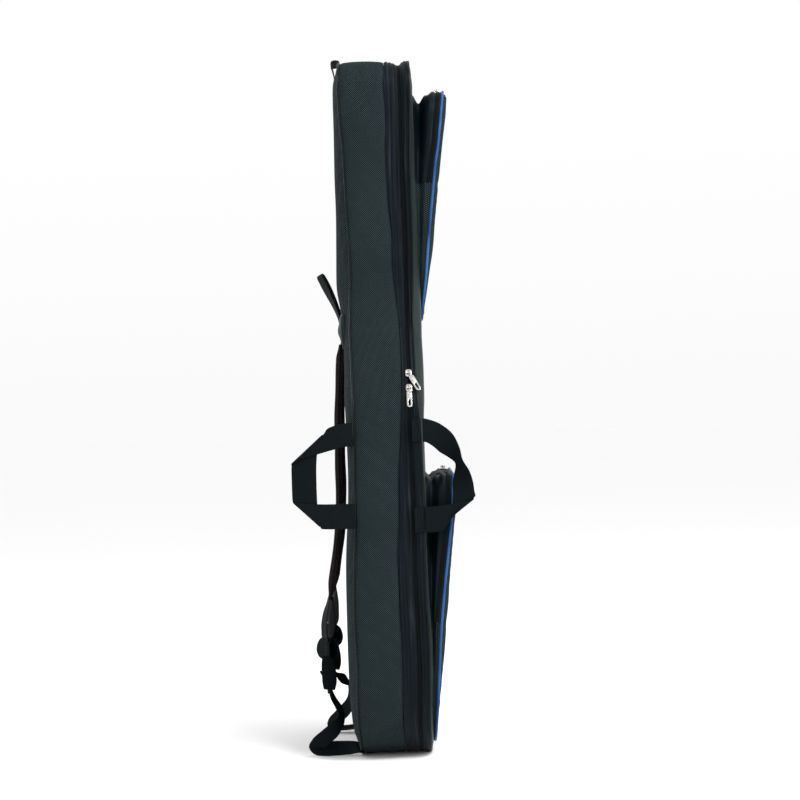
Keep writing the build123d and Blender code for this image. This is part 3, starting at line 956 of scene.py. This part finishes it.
def lid_panels():
    """The lid's padded front and its lining."""
    inset = 0.0016
    x, z = panel_grid(BAG, 0.002, 1.0885, inset)
    gap = BAG.distance(x, z) - inset
    seam = at_height(z, LID_EDGE_LINE)
    edge = seam - 0.001
    y = edge + (lid_crest(z) - edge) * rise(gap, 0.018)
    y = y - 0.0009 * ease(gap, 0.004, 0.03) * ripple(np.stack([x, y, z], -1), 0.09, 41)
    front = settle(np.stack([x, y, z], -1))
    rear = settle(np.stack([x, seam + 0.0003, z], -1))
    dress(pillow("lid_front", front, rear, "satin"), "lid", "lid_panel_outer", "lid_foam", padding=0.5)
    x, z = panel_grid(BAG, 0.0075, 1.0825, LID_SKIN + 0.0004)
    puff = 0.0006 * (1 + ripple(np.stack([x, x * 0, z], -1), 0.06, 43))
    seam = at_height(z, LID_EDGE_LINE)
    front = np.stack([x, seam + 0.0005 + puff, z], -1)
    rear = np.stack([x, seam + 0.0002, z], -1)
    dress(pillow("lid_inner", settle(front), settle(rear), "lining"), "lid", "lid_lining")


# ---------------------------------------------------------------- pockets

# How far forward the stuffed pockets' fronts and their piped seams stand, by height.
UPPER_CREST = [
    (0.682, -0.0685), (0.7, -0.07), (0.718, -0.0725), (0.753, -0.079), (0.804, -0.0872), (0.917, -0.1016),
    (1.04, -0.1178),
]
UPPER_SEAM = [
    (0.682, -0.0658), (0.7, -0.0668), (0.718, -0.0694), (0.753, -0.0745), (0.804, -0.0798), (0.917, -0.0937),
    (0.957, -0.1002), (1.04, -0.1105),
]
LOWER_CREST = [
    (0.017, -0.0655), (0.063, -0.0688), (0.154, -0.0795), (0.246, -0.09), (0.338, -0.101), (0.38, -0.1062),
    (0.434, -0.1108),
]
LOWER_SEAM = [
    (0.017, -0.0632), (0.056, -0.0662), (0.12, -0.071), (0.196, -0.0768), (0.26, -0.0845), (0.32, -0.093),
    (0.37, -0.0995), (0.434, -0.1045),
]


class Pocket:
    """A zipped pocket on the lid, whose padded top part folds open."""

    def __init__(self, name, half, crest_line, seam_line, sag, seed):
        self.name, self.loop, self.seed = name, Loop.rounded(half, 0.004), seed
        self.low, self.high = half[0][1], half[-1][1]
        self.crest_line, self.seam_line, self.sag = crest_line, seam_line, sag
        self.fold = low(f"{name}_pocket_flap", Z)
        self.flap = f"{name}_flap"

    def crest(self, z):
        """How far forward the padding reaches at a height."""
        return at_height(z, self.crest_line)

    def seam(self, z):
        """The depth of the seam with the piping."""
        return at_height(z, self.seam_line)

    def lean(self, thing):
        """Bakes a piece's placement into its mesh, as it stands."""
        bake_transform(thing)
        return thing

    def wall(self, name, loop, near, finish, *nodes):
        """The side from one distance behind the seam back to the lid, with its folds."""
        z = loop.heights
        start = self.seam(z) + near
        room = LID_CREST + 0.0015 - start
        top = ease(loop.normals[:, 1], 0.5, 0.95) * ease(z, self.high - 0.05, self.high - 0.01)
        rows = []
        for share in np.linspace(0, 1, 19):
            y = start + room * share
            rows.append((self.folds(share, room, top, loop, y), y))
        rows += [(np.maximum(inset, 0) + 0.0022, y) for inset, y in reversed(rows)]
        made = piece(name, *lattice([loop.row(inset, y) for inset, y in rows], True, loop.closed), finish)
        return dress(made, "lid", *nodes)

    def folds(self, share, room, top, loop, y):
        """How far the side sinks in: a fold that lies against the lid, and a hollow in front of it."""
        room = np.abs(room)
        hollow = (0.4 * room * (1 - top) + self.sag * top) * bell(share, 0.72, 0.2) * ease(room, 0.006, 0.016)
        ridge = 0.09 * room * bell(share, 0.93, 0.06) * (1 - top)
        places = loop.row(0, y)
        waver = 1 + 0.35 * ripple(places, 0.12, self.seed)
        phase = share * 15 + 1.6 * ripple(places, 0.2, self.seed + 1)
        creases = 0.018 * room * np.sin(phase) * ease(share, 0.1, 0.35)
        bumps = 0.0016 * top * np.sin(share * 19 + 2 * ripple(places, 0.15, self.seed + 2))
        return (hollow - ridge) * waver + (creases + bumps) * ease(room, 0.006, 0.02)

    def sides(self):
        low_loop, high_loop = self.loop.below(self.fold + 0.003), self.loop.above(self.fold - 0.001)
        self.wall(f"{self.name}_side", low_loop, 0.0012, "ballistic", f"{self.name}_pocket_gusset")
        self.wall(f"{self.name}_band", high_loop, 0.0071, "smooth_nylon", f"{self.name}_pocket_zip_band")
        self.strip(high_loop)
        self.teeth(high_loop)

    def strip(self, loop):
        """The narrow strip between the flap's seam and the zip, which opens with the flap."""
        z = loop.heights
        rows = []
        for share in np.linspace(0, 1, 6):
            inset = 0.0003 - 0.0008 * np.sin(pi * share) * np.ones(len(z))
            rows.append((inset, self.seam(z) + 0.0008 + 0.0062 * share))
        rows += [(inset + 0.0012, y) for inset, y in reversed(rows)]
        grid = lattice([loop.row(inset, y) for inset, y in rows], True)
        self.lean(piece(f"{self.name}_flap_strip", *grid, "smooth_nylon"))

    def teeth(self, loop):
        """Two rows of teeth: one on the pocket and one on the flap's strip."""
        middle = sum(POCKET_COIL) / 2
        for half, offset in (("pocket", TOOTH_OFFSET), ("flap", -TOOTH_OFFSET)):
            line = loop.row(-0.0004, self.seam(loop.heights) + middle + offset)
            places, heading = spaced(line, TOOTH_PITCH, False, 0 if offset > 0 else TOOTH_PITCH / 2)
            out = loop.outward[nearest(line, places)]
            made = coil(f"{self.name}_teeth_{half}", places, heading, out)
            if half == "pocket":
                dress(made, "lid", f"{self.name}_pocket_zip_coil")
            else:
                self.lean(made)

    def front(self):
        """The padded front, one piece over the fold, and the piping round it."""
        x, z = panel_grid(self.loop, self.low + 0.0006, self.high - 0.0006, 0.0006, columns=57, pitch=0.005)
        gap = np.maximum(self.loop.distance(x, z) - 0.0006, 0)
        seam, crest = self.seam(z), self.crest(z)
        y = seam + (crest - seam) * rise(gap, 0.013)
        places = np.stack([x, y, z], -1)
        slant = (x + 1.3 * z) / 0.005 + 2 * ripple(places, 0.08, self.seed + 3)
        puckers = 0.0011 * bell(gap, 0.006, 0.005) * np.sin(slant)
        waves = 0.0015 * ease(gap, 0.006, 0.04) * ripple(places, 0.11, self.seed + 4)
        crease = 0.0012 * bell(z, self.fold, 0.006) * ease(gap, 0, 0.02)
        front = np.stack([x, y + puckers + waves + crease, z], -1)
        rear = np.stack([x, seam + 0.0012, z], -1)
        made = pillow(f"{self.name}_front", front, rear, "ballistic")
        self.lean(made)
        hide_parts(f"{self.name}_pocket_front", f"{self.name}_pocket_flap")
        line = self.loop.row(-0.0006, self.seam(self.loop.heights))
        made = tube(f"{self.name}_seam_piping", line, PIPING_RADIUS, "blue_piping")
        self.lean(made)
        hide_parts(f"{self.name}_pocket_piping", f"{self.name}_pocket_flap_piping")


# ---------------------------------------------------------------- handles, loops and straps

HANDLE_PLANE = (low("back_handle", X) + high("back_handle", X)) / 2
WEB = 0.0022  # the handles' webbing, thick
STRAP_WEB = 0.025  # the straps' and loops' webbing, wide
THIN_WEB = 0.0017
HANDLE_NEAR, HANDLE_FAR = HANDLE_PLANE - 0.0014, HANDLE_PLANE + 0.0016


def knots_in(plane, *rows):
    """Knots from (y, z, across x, across y, across z[, further out]) rows, beside the bag."""
    made = []
    for y, z, ax, ay, az, *out in rows:
        made.append(((plane + (out[0] if out else 0), y, z), (ax, ay, az)))
    return made


def back_handle():
    """Webbing that leaves the back seam twice, folded over itself at both corners of its grip."""
    upper = knots_in(
        HANDLE_NEAR, (0.048, 0.5015, 0, 0.001, 0.036), (0.060, 0.5012, 0, 0.001, 0.036),
        (0.078, 0.4975, 0, -0.003, 0.037), (0.094, 0.4925, 0, -0.014, 0.038),
        (0.108, 0.4865, 0, -0.034, 0.038), (0.1175, 0.4815, 0, -0.049, 0.043),
    )
    grip = knots_in(
        HANDLE_FAR, (0.1195, 0.479, 0, -0.049, 0.043), (0.1225, 0.469, 0, -0.040, 0.020),
        (0.1245, 0.455, 0, -0.0385, 0.004), (0.125, 0.43, 0, -0.038, 0), (0.125, 0.408, 0, -0.038, -0.003),
        (0.1245, 0.393, 0, -0.0385, -0.024), (0.1235, 0.3835, 0, -0.040, -0.039),
    )
    lower = knots_in(
        HANDLE_NEAR, (0.1205, 0.381, 0, -0.040, -0.039), (0.108, 0.3785, 0, -0.014, -0.0385),
        (0.094, 0.3772, 0, -0.002, -0.0385), (0.070, 0.3768, 0, 0, -0.0385), (0.048, 0.3765, 0, 0, -0.0385),
    )
    strip = ribbon("back_carry_handle", upper + grip + lower, WEB, "webbing", per_span=7)
    dress(strip, "back_handle", "back_handle")


def front_handle():
    """Webbing sewn to the lid's side twice; its grip twists as it hangs and folds at the bottom."""
    rows = knots_in(
        HANDLE_NEAR, (-0.0588, 0.505, 0, 0, 0.036), (-0.066, 0.5035, 0, -0.002, 0.036),
        (-0.080, 0.4965, -0.001, -0.010, 0.0355, -0.001), (-0.094, 0.4845, -0.008, -0.019, 0.029, -0.004),
        (-0.1055, 0.470, -0.022, -0.016, 0.017, -0.010), (-0.1125, 0.4555, -0.030, -0.010, 0.006, -0.013),
        (-0.1165, 0.440, -0.025, -0.022, 0.003, -0.010), (-0.1175, 0.424, -0.012, -0.031, 0.001, -0.004),
        (-0.1185, 0.408, 0, -0.033, 0.004), (-0.1185, 0.394, 0, -0.036, 0.016, 0.001),
        (-0.1165, 0.3855, 0, -0.036, 0.028, 0.0015),
    )
    rows += knots_in(
        HANDLE_NEAR, (-0.1135, 0.3825, 0, -0.036, 0.028, -0.0015), (-0.102, 0.375, 0, -0.022, 0.036),
        (-0.088, 0.3695, 0, -0.006, 0.039), (-0.072, 0.3678, 0, 0, 0.0395), (-0.0588, 0.3675, 0, 0, 0.0395),
    )
    dress(ribbon("front_carry_handle", rows, WEB, "webbing", per_span=7), "front_handle", "front_handle")


def handle_ends():
    """The front handle's sewn ends, with their box stitching."""
    parts = []
    for z, width in ((0.505, 0.036), (0.3675, 0.040)):
        rows = [(y, z, 0, 0, width) for y in (-0.0425, -0.049, -0.0562)]
        parts.append(ribbon(f"end_{z}", knots_in(HANDLE_NEAR, *rows), WEB * 1.2, "webbing", per_span=4))
    dress(joined("front_handle_tabs", parts), "lid", "front_handle_ends")
    for index, (z, width) in enumerate(((0.505, 0.030), (0.3675, 0.033))):
        path = box_path(HANDLE_NEAR - WEB * 0.6, -0.0445, -0.0545, z, width)
        dress(stitches(f"front_handle_stitches_{index}", path, (-1.0, 0.0, 0.0)), "lid")


def box_path(x, y_near, y_far, z, width):
    """A box with a cross in it, as points."""
    low_z, high_z = z - width / 2, z + width / 2
    a, b, c, d = (x, y_near, low_z), (x, y_near, high_z), (x, y_far, high_z), (x, y_far, low_z)
    corners = [a, b, c, d, a, c, b, d]
    path = []
    for start, end in zip(corners, corners[1:]):
        path += [np.array(start) + (np.array(end) - start) * t for t in np.linspace(0, 1, 12, endpoint=False)]
    return np.array(path)


def twisted(turn, side):
    """A strap's width, turned out of X by an angle towards a direction across Y and Z."""
    return tuple(STRAP_WEB * np.array([cos(turn), sin(turn) * side[0], sin(turn) * side[1]]))


def loops():
    """The hanging loop at the top of the back, and the grab loop at the neck."""
    hang = [
        ((0, 0.0590, 1.052), (0.025, 0, 0)), ((0, 0.0615, 1.062), (0.025, 0, 0)),
        ((0, 0.0625, 1.076), (0.025, 0, 0)),
        ((0, 0.0650, 1.088), (0.023, 0.002, 0.004)), ((0, 0.0668, 1.0945), (0.020, 0.001, 0.014)),
        ((0, 0.0635, 1.0965), (0.019, 0, 0.016)), ((0, 0.0585, 1.0968), (0.019, 0, 0.016)),
        ((0, 0.0548, 1.0955), (0.020, -0.001, 0.014)), ((0, 0.0542, 1.0900), (0.023, -0.002, 0.004)),
        ((0, 0.0560, 1.0820), (0.025, 0, 0)), ((0, 0.0575, 1.0740), (0.025, 0, 0)),
    ]
    dress(ribbon("hanging_loop", hang, 0.0018, "webbing", per_span=5), "hang_loop", "hang_loop")
    axis = smooth_path([(0.0640, 0.677), (0.0675, 0.692), (0.0745, 0.711), (0.0825, 0.729), (0.0895, 0.744),
                        (0.0945, 0.754)], 4)
    side = np.array([0.93, -0.36])
    reach = np.linspace(0, 1, len(axis))
    gap = 0.0013 + 0.0006 * np.sin(pi * reach)
    outer, inner = axis + side * gap[:, None], axis - side * gap[:, None]
    grab = []
    for points, shares in ((outer, reach), (inner[::-1], reach[::-1])):
        for (y, z), share in zip(points, shares):
            grab.append(((0, y, z), twisted(radians(8 + 17 * ease(share, 0.1, 0.8)), side)))
    grab.insert(len(axis), ((0, 0.0963, 0.7572), twisted(0.43, side)))
    dress(ribbon("neck_grab_loop", grab, 0.0022, "webbing", per_span=2), "grab_loop", "grab_loop")


def yoke():
    """The folded patch that the straps are sewn under, with its stitching."""
    z = np.linspace(YOKE_LOW, YOKE_HIGH, 15)
    s = np.linspace(-1, 1, 41)
    half = np.interp(z, [YOKE_LOW, YOKE_HIGH], [0.094, 0.086])
    x, z = half[:, None] * s, np.repeat(z[:, None], len(s), axis=1)
    border = np.minimum(np.minimum(z - YOKE_LOW, YOKE_HIGH - z), 0.09 - np.abs(x) + 0.004)
    gap = BAG.distance(x, z)
    sit = at_height(z, BACK_CREST_LINE) + 0.0002 - (1 - rise(gap, 0.034)) * 0.008
    lump = 0.0048 * bell(z, 0.663, 0.014) * ease(border, 0, 0.02)
    waves = 0.0005 * ripple(np.stack([x, x, z], -1), 0.05, 52)
    puff = 0.0032 * rise(np.clip(border, 0, 1), 0.006) + lump + waves
    front = np.stack([x, sit + puff, z], -1)
    rear = np.stack([x, sit - 0.0015, z], -1)
    dress(pillow("yoke_patch", front, rear, "satin"), "shell", "strap_yoke")
    out = (0.0, 1.0, 0.0)
    for index, height in enumerate((YOKE_LOW + 0.005, YOKE_HIGH - 0.005, YOKE_HIGH - 0.009)):
        xs = np.linspace(-0.082, 0.082, 60)
        crest = at_height(np.full_like(xs, height), BACK_CREST_LINE)
        row = np.column_stack([xs, crest + 0.0024, np.full_like(xs, height)])
        dress(stitches(f"yoke_stitches_{index}", row, out), "shell")


def strap_matrix(side):
    """A strap's own frame, leaning outwards from its top."""
    x, z = STRAP_TOP
    lean = Matrix.Rotation(-side * atan2(STRAP_FOOT_X - x, z), 4, "Y")
    return Matrix.Translation((side * x, 0, z)) @ lean @ Matrix.Translation((0, 0, -z))


def carried(matrix, knots):
    """Knots of (centre, across), carried along by a matrix."""
    turn = matrix.to_3x3()
    return [(tuple(matrix @ Vector(c)), tuple(turn @ Vector(a))) for c, a in knots]


# Half of a shoulder pad's section, in shares of its width and thickness, with a channel along each edge.
PAD_SECTION = [
    (-0.5, 0), (-0.495, 0.3), (-0.465, 0.44), (-0.44, 0.36), (-0.40, 0.44), (-0.25, 0.5), (0, 0.52),
    (0.25, 0.5), (0.40, 0.44), (0.44, 0.36), (0.465, 0.44), (0.495, 0.3),
]
PAD_SECTION += [(-s, -h) for s, h in PAD_SECTION]
# The pad's middle line, as (y, z).
PAD = [
    (0.0655, 0.641), (0.0662, 0.628), (0.0678, 0.60), (0.0715, 0.54), (0.0733, 0.48), (0.0737, 0.42),
    (0.0760, 0.36), (0.0825, 0.31), (0.0905, 0.262), (0.0935, 0.246), (0.0942, 0.240),
]
# The adjusting webbing's two layers, as (y, z, degrees of twist).
TAIL_OUTER = [
    (0.0925, 0.256, 0), (0.0965, 0.240, 8), (0.1015, 0.222, 18), (0.1045, 0.205, 22), (0.1048, 0.190, 22),
    (0.1025, 0.178, 14), (0.1005, 0.168, 4), (0.1003, 0.150, 0), (0.1003, 0.131, 0),
]
TAIL_INNER = [
    (0.0915, 0.254, 0), (0.0915, 0.240, 10), (0.0918, 0.222, 22), (0.0925, 0.205, 26), (0.0935, 0.190, 26),
    (0.0968, 0.178, 14), (0.0990, 0.169, 4),
]
# Two folds of webbing that stand out of the tri-glide, as (y, z).
GLIDE_FOLDS = [
    [(0.1015, 0.181), (0.1065, 0.176), (0.1095, 0.168), (0.1098, 0.160), (0.1068, 0.152), (0.1020, 0.148)],
    [(0.0985, 0.181), (0.0935, 0.176), (0.0905, 0.167), (0.0902, 0.159), (0.0932, 0.151), (0.0980, 0.147)],
]
# The webbing's loose end behind the ladder lock, as (y, z, width).
LOOSE_END = [
    (0.1010, 0.152, 0.014), (0.1005, 0.144, 0.019), (0.0992, 0.133, 0.023), (0.0985, 0.121, 0.024),
    (0.0985, 0.110, 0.023), (0.0990, 0.100, 0.018),
]


# The strap's sewn top, from under the yoke to the pad, as (y, z, width).
STRAP_NECK = [(0.0615, 0.655, 0.040), (0.0632, 0.646, 0.041), (0.0650, 0.636, 0.042), (0.0660, 0.626, 0.042)]


def pad_width(z):
    """The pad's width, which narrows to its two ends."""
    return 0.054 * (0.62 + 0.38 * ease(z, 0.238, 0.285)) * (0.72 + 0.28 * (1 - ease(z, 0.60, 0.642)))


def shoulder_pad(side, name, matrix):
    """A strap's padded part, with its bound edges."""
    knots = []
    for y, z in PAD:
        knots.append(((0, y, z), (pad_width(z), 0, 0)))
    path = smooth_path([[*c] for c, _ in knots], 8)
    thick = 0.0125 * (0.35 + 0.65 * ease(path[:, 2], 0.236, 0.27) * (1 - ease(path[:, 2], 0.618, 0.645)))
    thick = thick * (1 + 0.06 * np.sin(path[:, 2] / 0.013 + side))
    made = ribbon(f"shoulder_pad_{name}", carried(matrix, knots), thick, "mesh", PAD_SECTION)
    dress(made, f"strap_{name}", f"strap_pad_{name}", padding=0.7)
    edge_tapes(name, matrix, knots)


def strap(side, name):
    """A shoulder strap: its pad, the adjusting webbing, the sewn top and the lower webbing."""
    matrix = strap_matrix(side)
    shoulder_pad(side, name, matrix)
    tails = []
    for layer in (TAIL_OUTER, TAIL_INNER):
        leaves = [((0, y, z), twisted(radians(turn), (1, 0))) for y, z, turn in layer]
        tails.append(ribbon("tail_layer", carried(matrix, leaves), THIN_WEB, "webbing", per_span=5))
    tail = dress(joined(f"adjusting_webbing_{name}", tails), f"strap_{name}", f"strap_tail_{name}")
    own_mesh(tail)
    folds = []
    for layer in GLIDE_FOLDS:
        leaves = [((0, y, z), (0.0185, 0.0165, 0.001)) for y, z in layer]
        folds.append(ribbon("fold_layer", carried(matrix, leaves), THIN_WEB, "webbing", per_span=5))
    dress(joined(f"glide_webbing_{name}", folds), f"tri_glide_{name}")
    leaves = []
    for y, z, width in LOOSE_END:
        leaves.append(((side * 0.0195, y, z), (side * 0.3 * width, 0.95 * width, 0.1 * width)))
    loose = ribbon(f"loose_end_{name}", carried(matrix, leaves), THIN_WEB, "webbing", per_span=5)
    dress(loose, f"strap_{name}")
    top = [((0, y, z), (width, 0, 0)) for y, z, width in STRAP_NECK]
    made = ribbon(f"strap_neck_{name}", carried(matrix, top), WEB, "satin", per_span=6)
    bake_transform(made)
    lower_webbing(side, name)


def edge_tapes(name, matrix, knots):
    """The woven tape that binds a pad's two edges."""
    parts = []
    for edge in (-1, 1):
        line = smooth_path([[c[0] + edge * a[0] * 0.492, c[1], c[2]] for c, a in knots], 8)
        line = np.array([matrix @ Vector(p) for p in line])
        parts.append(tube(f"tape_{edge}", line[2:-2], 0.0021, "zip_tape", closed=False, sides=8))
    dress(joined(f"pad_binding_{name}", parts), f"strap_{name}")


# Centre (y, z), outer edge's direction (x, y, z) and how far outwards, from the ladder lock to the bag.
SLACK_LEFT = [
    (0.1003, 0.118, 1, 0, 0, 0), (0.0985, 0.104, 0.97, 0.15, 0.05, 0), (0.0935, 0.090, 0.94, 0.25, 0, 0),
    (0.0862, 0.078, 0.94, 0.28, -0.1, 0.002), (0.0822, 0.067, 0.92, 0.32, -0.05, 0.003),
    (0.0855, 0.055, 0.70, 0.60, 0.35, 0.005), (0.0950, 0.042, 0.35, 0.62, 0.68, 0.006),
    (0.1075, 0.0315, 0.20, 0.50, 0.82, 0.006), (0.1185, 0.0225, 0.28, 0.70, 0.62, 0.005),
    (0.1228, 0.0155, 0.40, 0.88, 0.10, 0), (0.1175, 0.0122, 0.45, 0.60, -0.62, -0.004),
    (0.1060, 0.0115, 0.45, 0.20, -0.85, -0.008), (0.0940, 0.0115, 0.48, 0, -0.86, -0.010),
    (0.0820, 0.0120, 0.52, -0.1, -0.82, -0.008), (0.0700, 0.0128, 0.60, -0.1, -0.75, -0.004),
    (0.0590, 0.0135, 0.75, 0, -0.60, 0), (0.0480, 0.0110, 0.90, 0, -0.30, 0),
]
SLACK_RIGHT = [
    (0.1003, 0.118, 1, 0, 0, 0), (0.0985, 0.104, 0.93, 0.2, 0.2, 0), (0.0915, 0.093, 0.68, 0.3, 0.62, 0.002),
    (0.0785, 0.088, 0.55, 0.3, 0.75, 0.004), (0.0705, 0.079, 0.6, 0.6, 0.5, 0.004),
    (0.0685, 0.067, 0.7, 0.7, 0, 0.003), (0.0725, 0.053, 0.7, 0.65, 0.2, 0),
    (0.0815, 0.040, 0.6, 0.6, 0.5, -0.002), (0.0925, 0.029, 0.6, 0.5, 0.6, -0.002),
    (0.1020, 0.0195, 0.6, 0.7, 0.35, 0), (0.1050, 0.0125, 0.7, 0.7, -0.1, 0),
    (0.0985, 0.0085, 0.85, 0.3, -0.4, 0), (0.0860, 0.0080, 0.88, 0, -0.45, 0),
    (0.0720, 0.0090, 0.88, 0, -0.45, 0), (0.0590, 0.0105, 0.9, 0, -0.4, 0),
    (0.0480, 0.0105, 0.95, 0, -0.25, 0),
]


def lower_webbing(side, name):
    """The slack webbing from the ladder lock down to the bottom seam, standing on its edge on the floor."""
    knots = []
    for y, z, ax, ay, az, out in SLACK_LEFT if side < 0 else SLACK_RIGHT:
        leaning = STRAP_TOP[0] + (STRAP_FOOT_X - STRAP_TOP[0]) * (STRAP_TOP[1] - z) / STRAP_TOP[1]
        share = float(ease(z, 0.06, 0.11))
        x = side * (leaning * share + STRAP_FOOT_X * (1 - share) + out)
        across = np.array([side * ax, ay, az])
        knots.append(((x, y, z), tuple(0.0245 * across / np.linalg.norm(across))))
    made = ribbon(f"lower_webbing_{name}", knots, 0.0018, "webbing", per_span=6)
    for vertex in made.data.vertices:
        vertex.co.z = max(vertex.co.z, 0.0002)
    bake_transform(made)
    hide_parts(f"strap_lower_{name}")


def hardware():
    """The CAD's rigid pieces: bevelled edges and their own finish."""
    for node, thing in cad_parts.items():
        metal = "slider" in node or "pull" in node
        plastic = "tri_glide" in node or "ladder_lock" in node
        if not (metal or plastic):
            continue
        weld = thing.modifiers.new("weld", "WELD")
        weld.merge_threshold = 0.00001
        bevel = thing.modifiers.new("bevel", "BEVEL")
        bevel.width = 0.0003 if metal else 0.0007
        bevel.segments = 3
        bevel.limit_method = "ANGLE"
        bevel.angle_limit = radians(35)
        bevel.harden_normals = False
        thing.data.materials.clear()
        thing.data.materials.append(MATERIALS["nickel" if metal else "buckle"])
        thing.data.polygons.foreach_set("use_smooth", [True] * len(thing.data.polygons))


# ---------------------------------------------------------------- studio

def surround():
    """A white world that meets the floor's own shade at the horizon."""
    world = bpy.data.worlds.new("surround")
    world.use_nodes = True
    tree = world.node_tree
    split = tree.nodes.new("ShaderNodeSeparateXYZ")
    shade = tree.nodes.new("ShaderNodeValToRGB")
    tree.links.new(tree.nodes.new("ShaderNodeTexCoord").outputs["Generated"], split.inputs[0])
    tree.links.new(split.outputs["Z"], shade.inputs[0])
    tree.links.new(shade.outputs[0], tree.nodes["Background"].inputs["Color"])
    for element, (height, level) in zip(shade.color_ramp.elements, ((0.0, 0.955), (0.12, 1.0))):
        element.position = height
        element.color = (level, level, level, 1)
    bpy.context.scene.world = world


def studio():
    """A pale floor, a white surround and soft lights."""
    floor_mesh = bpy.data.meshes.new("floor")
    half = 30
    corners = [(-half, -half, 0), (half, -half, 0), (half, half, 0), (-half, half, 0)]
    floor_mesh.from_pydata(corners, [], [(0, 1, 2, 3)])
    floor = bpy.data.objects.new("floor", floor_mesh)
    bpy.context.scene.collection.objects.link(floor)
    floor.location.z = -0.0005
    paper = Shader("floor_paper", (0.95, 0.95, 0.95), 0.9, Specular_IOR_Level=0.0)
    paper.paint(paper.ramp(paper.noise(0.6, 2), (0.3, (0.947, 0.947, 0.947)), (0.7, (0.953, 0.953, 0.953))))
    floor_mesh.materials.append(paper.material)
    surround()
    for name, place, aim, size, power in (
        ("key", (-1.6, -1.1, 2.5), (0, 0, 0.9), 0.9, 62),
        ("fill", (-2.0, 1.9, 1.3), (0, 0, 0.7), 1.2, 7),
        ("front", (-0.6, -2.6, 1.2), (0, 0, 0.7), 1.2, 20),
        ("back", (1.4, 2.2, 1.6), (0, 0, 0.7), 1.2, 14),
    ):
        data = bpy.data.lights.new(name, "AREA")
        data.energy, data.size = power, size
        lamp = bpy.data.objects.new(name, data)
        lamp.location = place
        lamp.rotation_mode = "QUATERNION"
        lamp.rotation_quaternion = (Vector(aim) - Vector(place)).to_track_quat("-Z", "Y")
        bpy.context.scene.collection.objects.link(lamp)
    bpy.context.scene.view_settings.view_transform = "Standard"


CAMERA_AT = (-3.6, -0.026, 0.552)
CAMERA_ROLL = radians(1.95)
CAMERA_LENS = 100.35


def camera():
    """A long lens at mid height on the handles' side, level, and rolled by two degrees."""
    data = bpy.data.cameras.new("camera")
    data.lens, data.sensor_width = CAMERA_LENS, 36
    view = bpy.data.objects.new("camera", data)
    right = Vector((0, -cos(CAMERA_ROLL), -sin(CAMERA_ROLL)))
    up = Vector((0, -sin(CAMERA_ROLL), cos(CAMERA_ROLL)))
    back = right.cross(up)
    turn = Matrix((right, up, back)).transposed()
    view.matrix_world = Matrix.Translation(CAMERA_AT) @ turn.to_4x4()
    bpy.context.scene.collection.objects.link(view)
    bpy.context.scene.camera = view


# ---------------------------------------------------------------- the whole bag

camera()
studio()
rim()
hinge()
back_panel()
lid_panels()
for pocket in (
    Pocket("upper", UPPER_HALF, UPPER_CREST, UPPER_SEAM, 0.013, 60),
    Pocket("lower", LOWER_HALF, LOWER_CREST, LOWER_SEAM, 0.007, 80),
):
    pocket.sides()
    pocket.front()
back_handle()
front_handle()
handle_ends()
loops()
yoke()
for strap_side, strap_name in ((-1, "left"), (1, "right")):
    strap(strap_side, strap_name)
hardware()
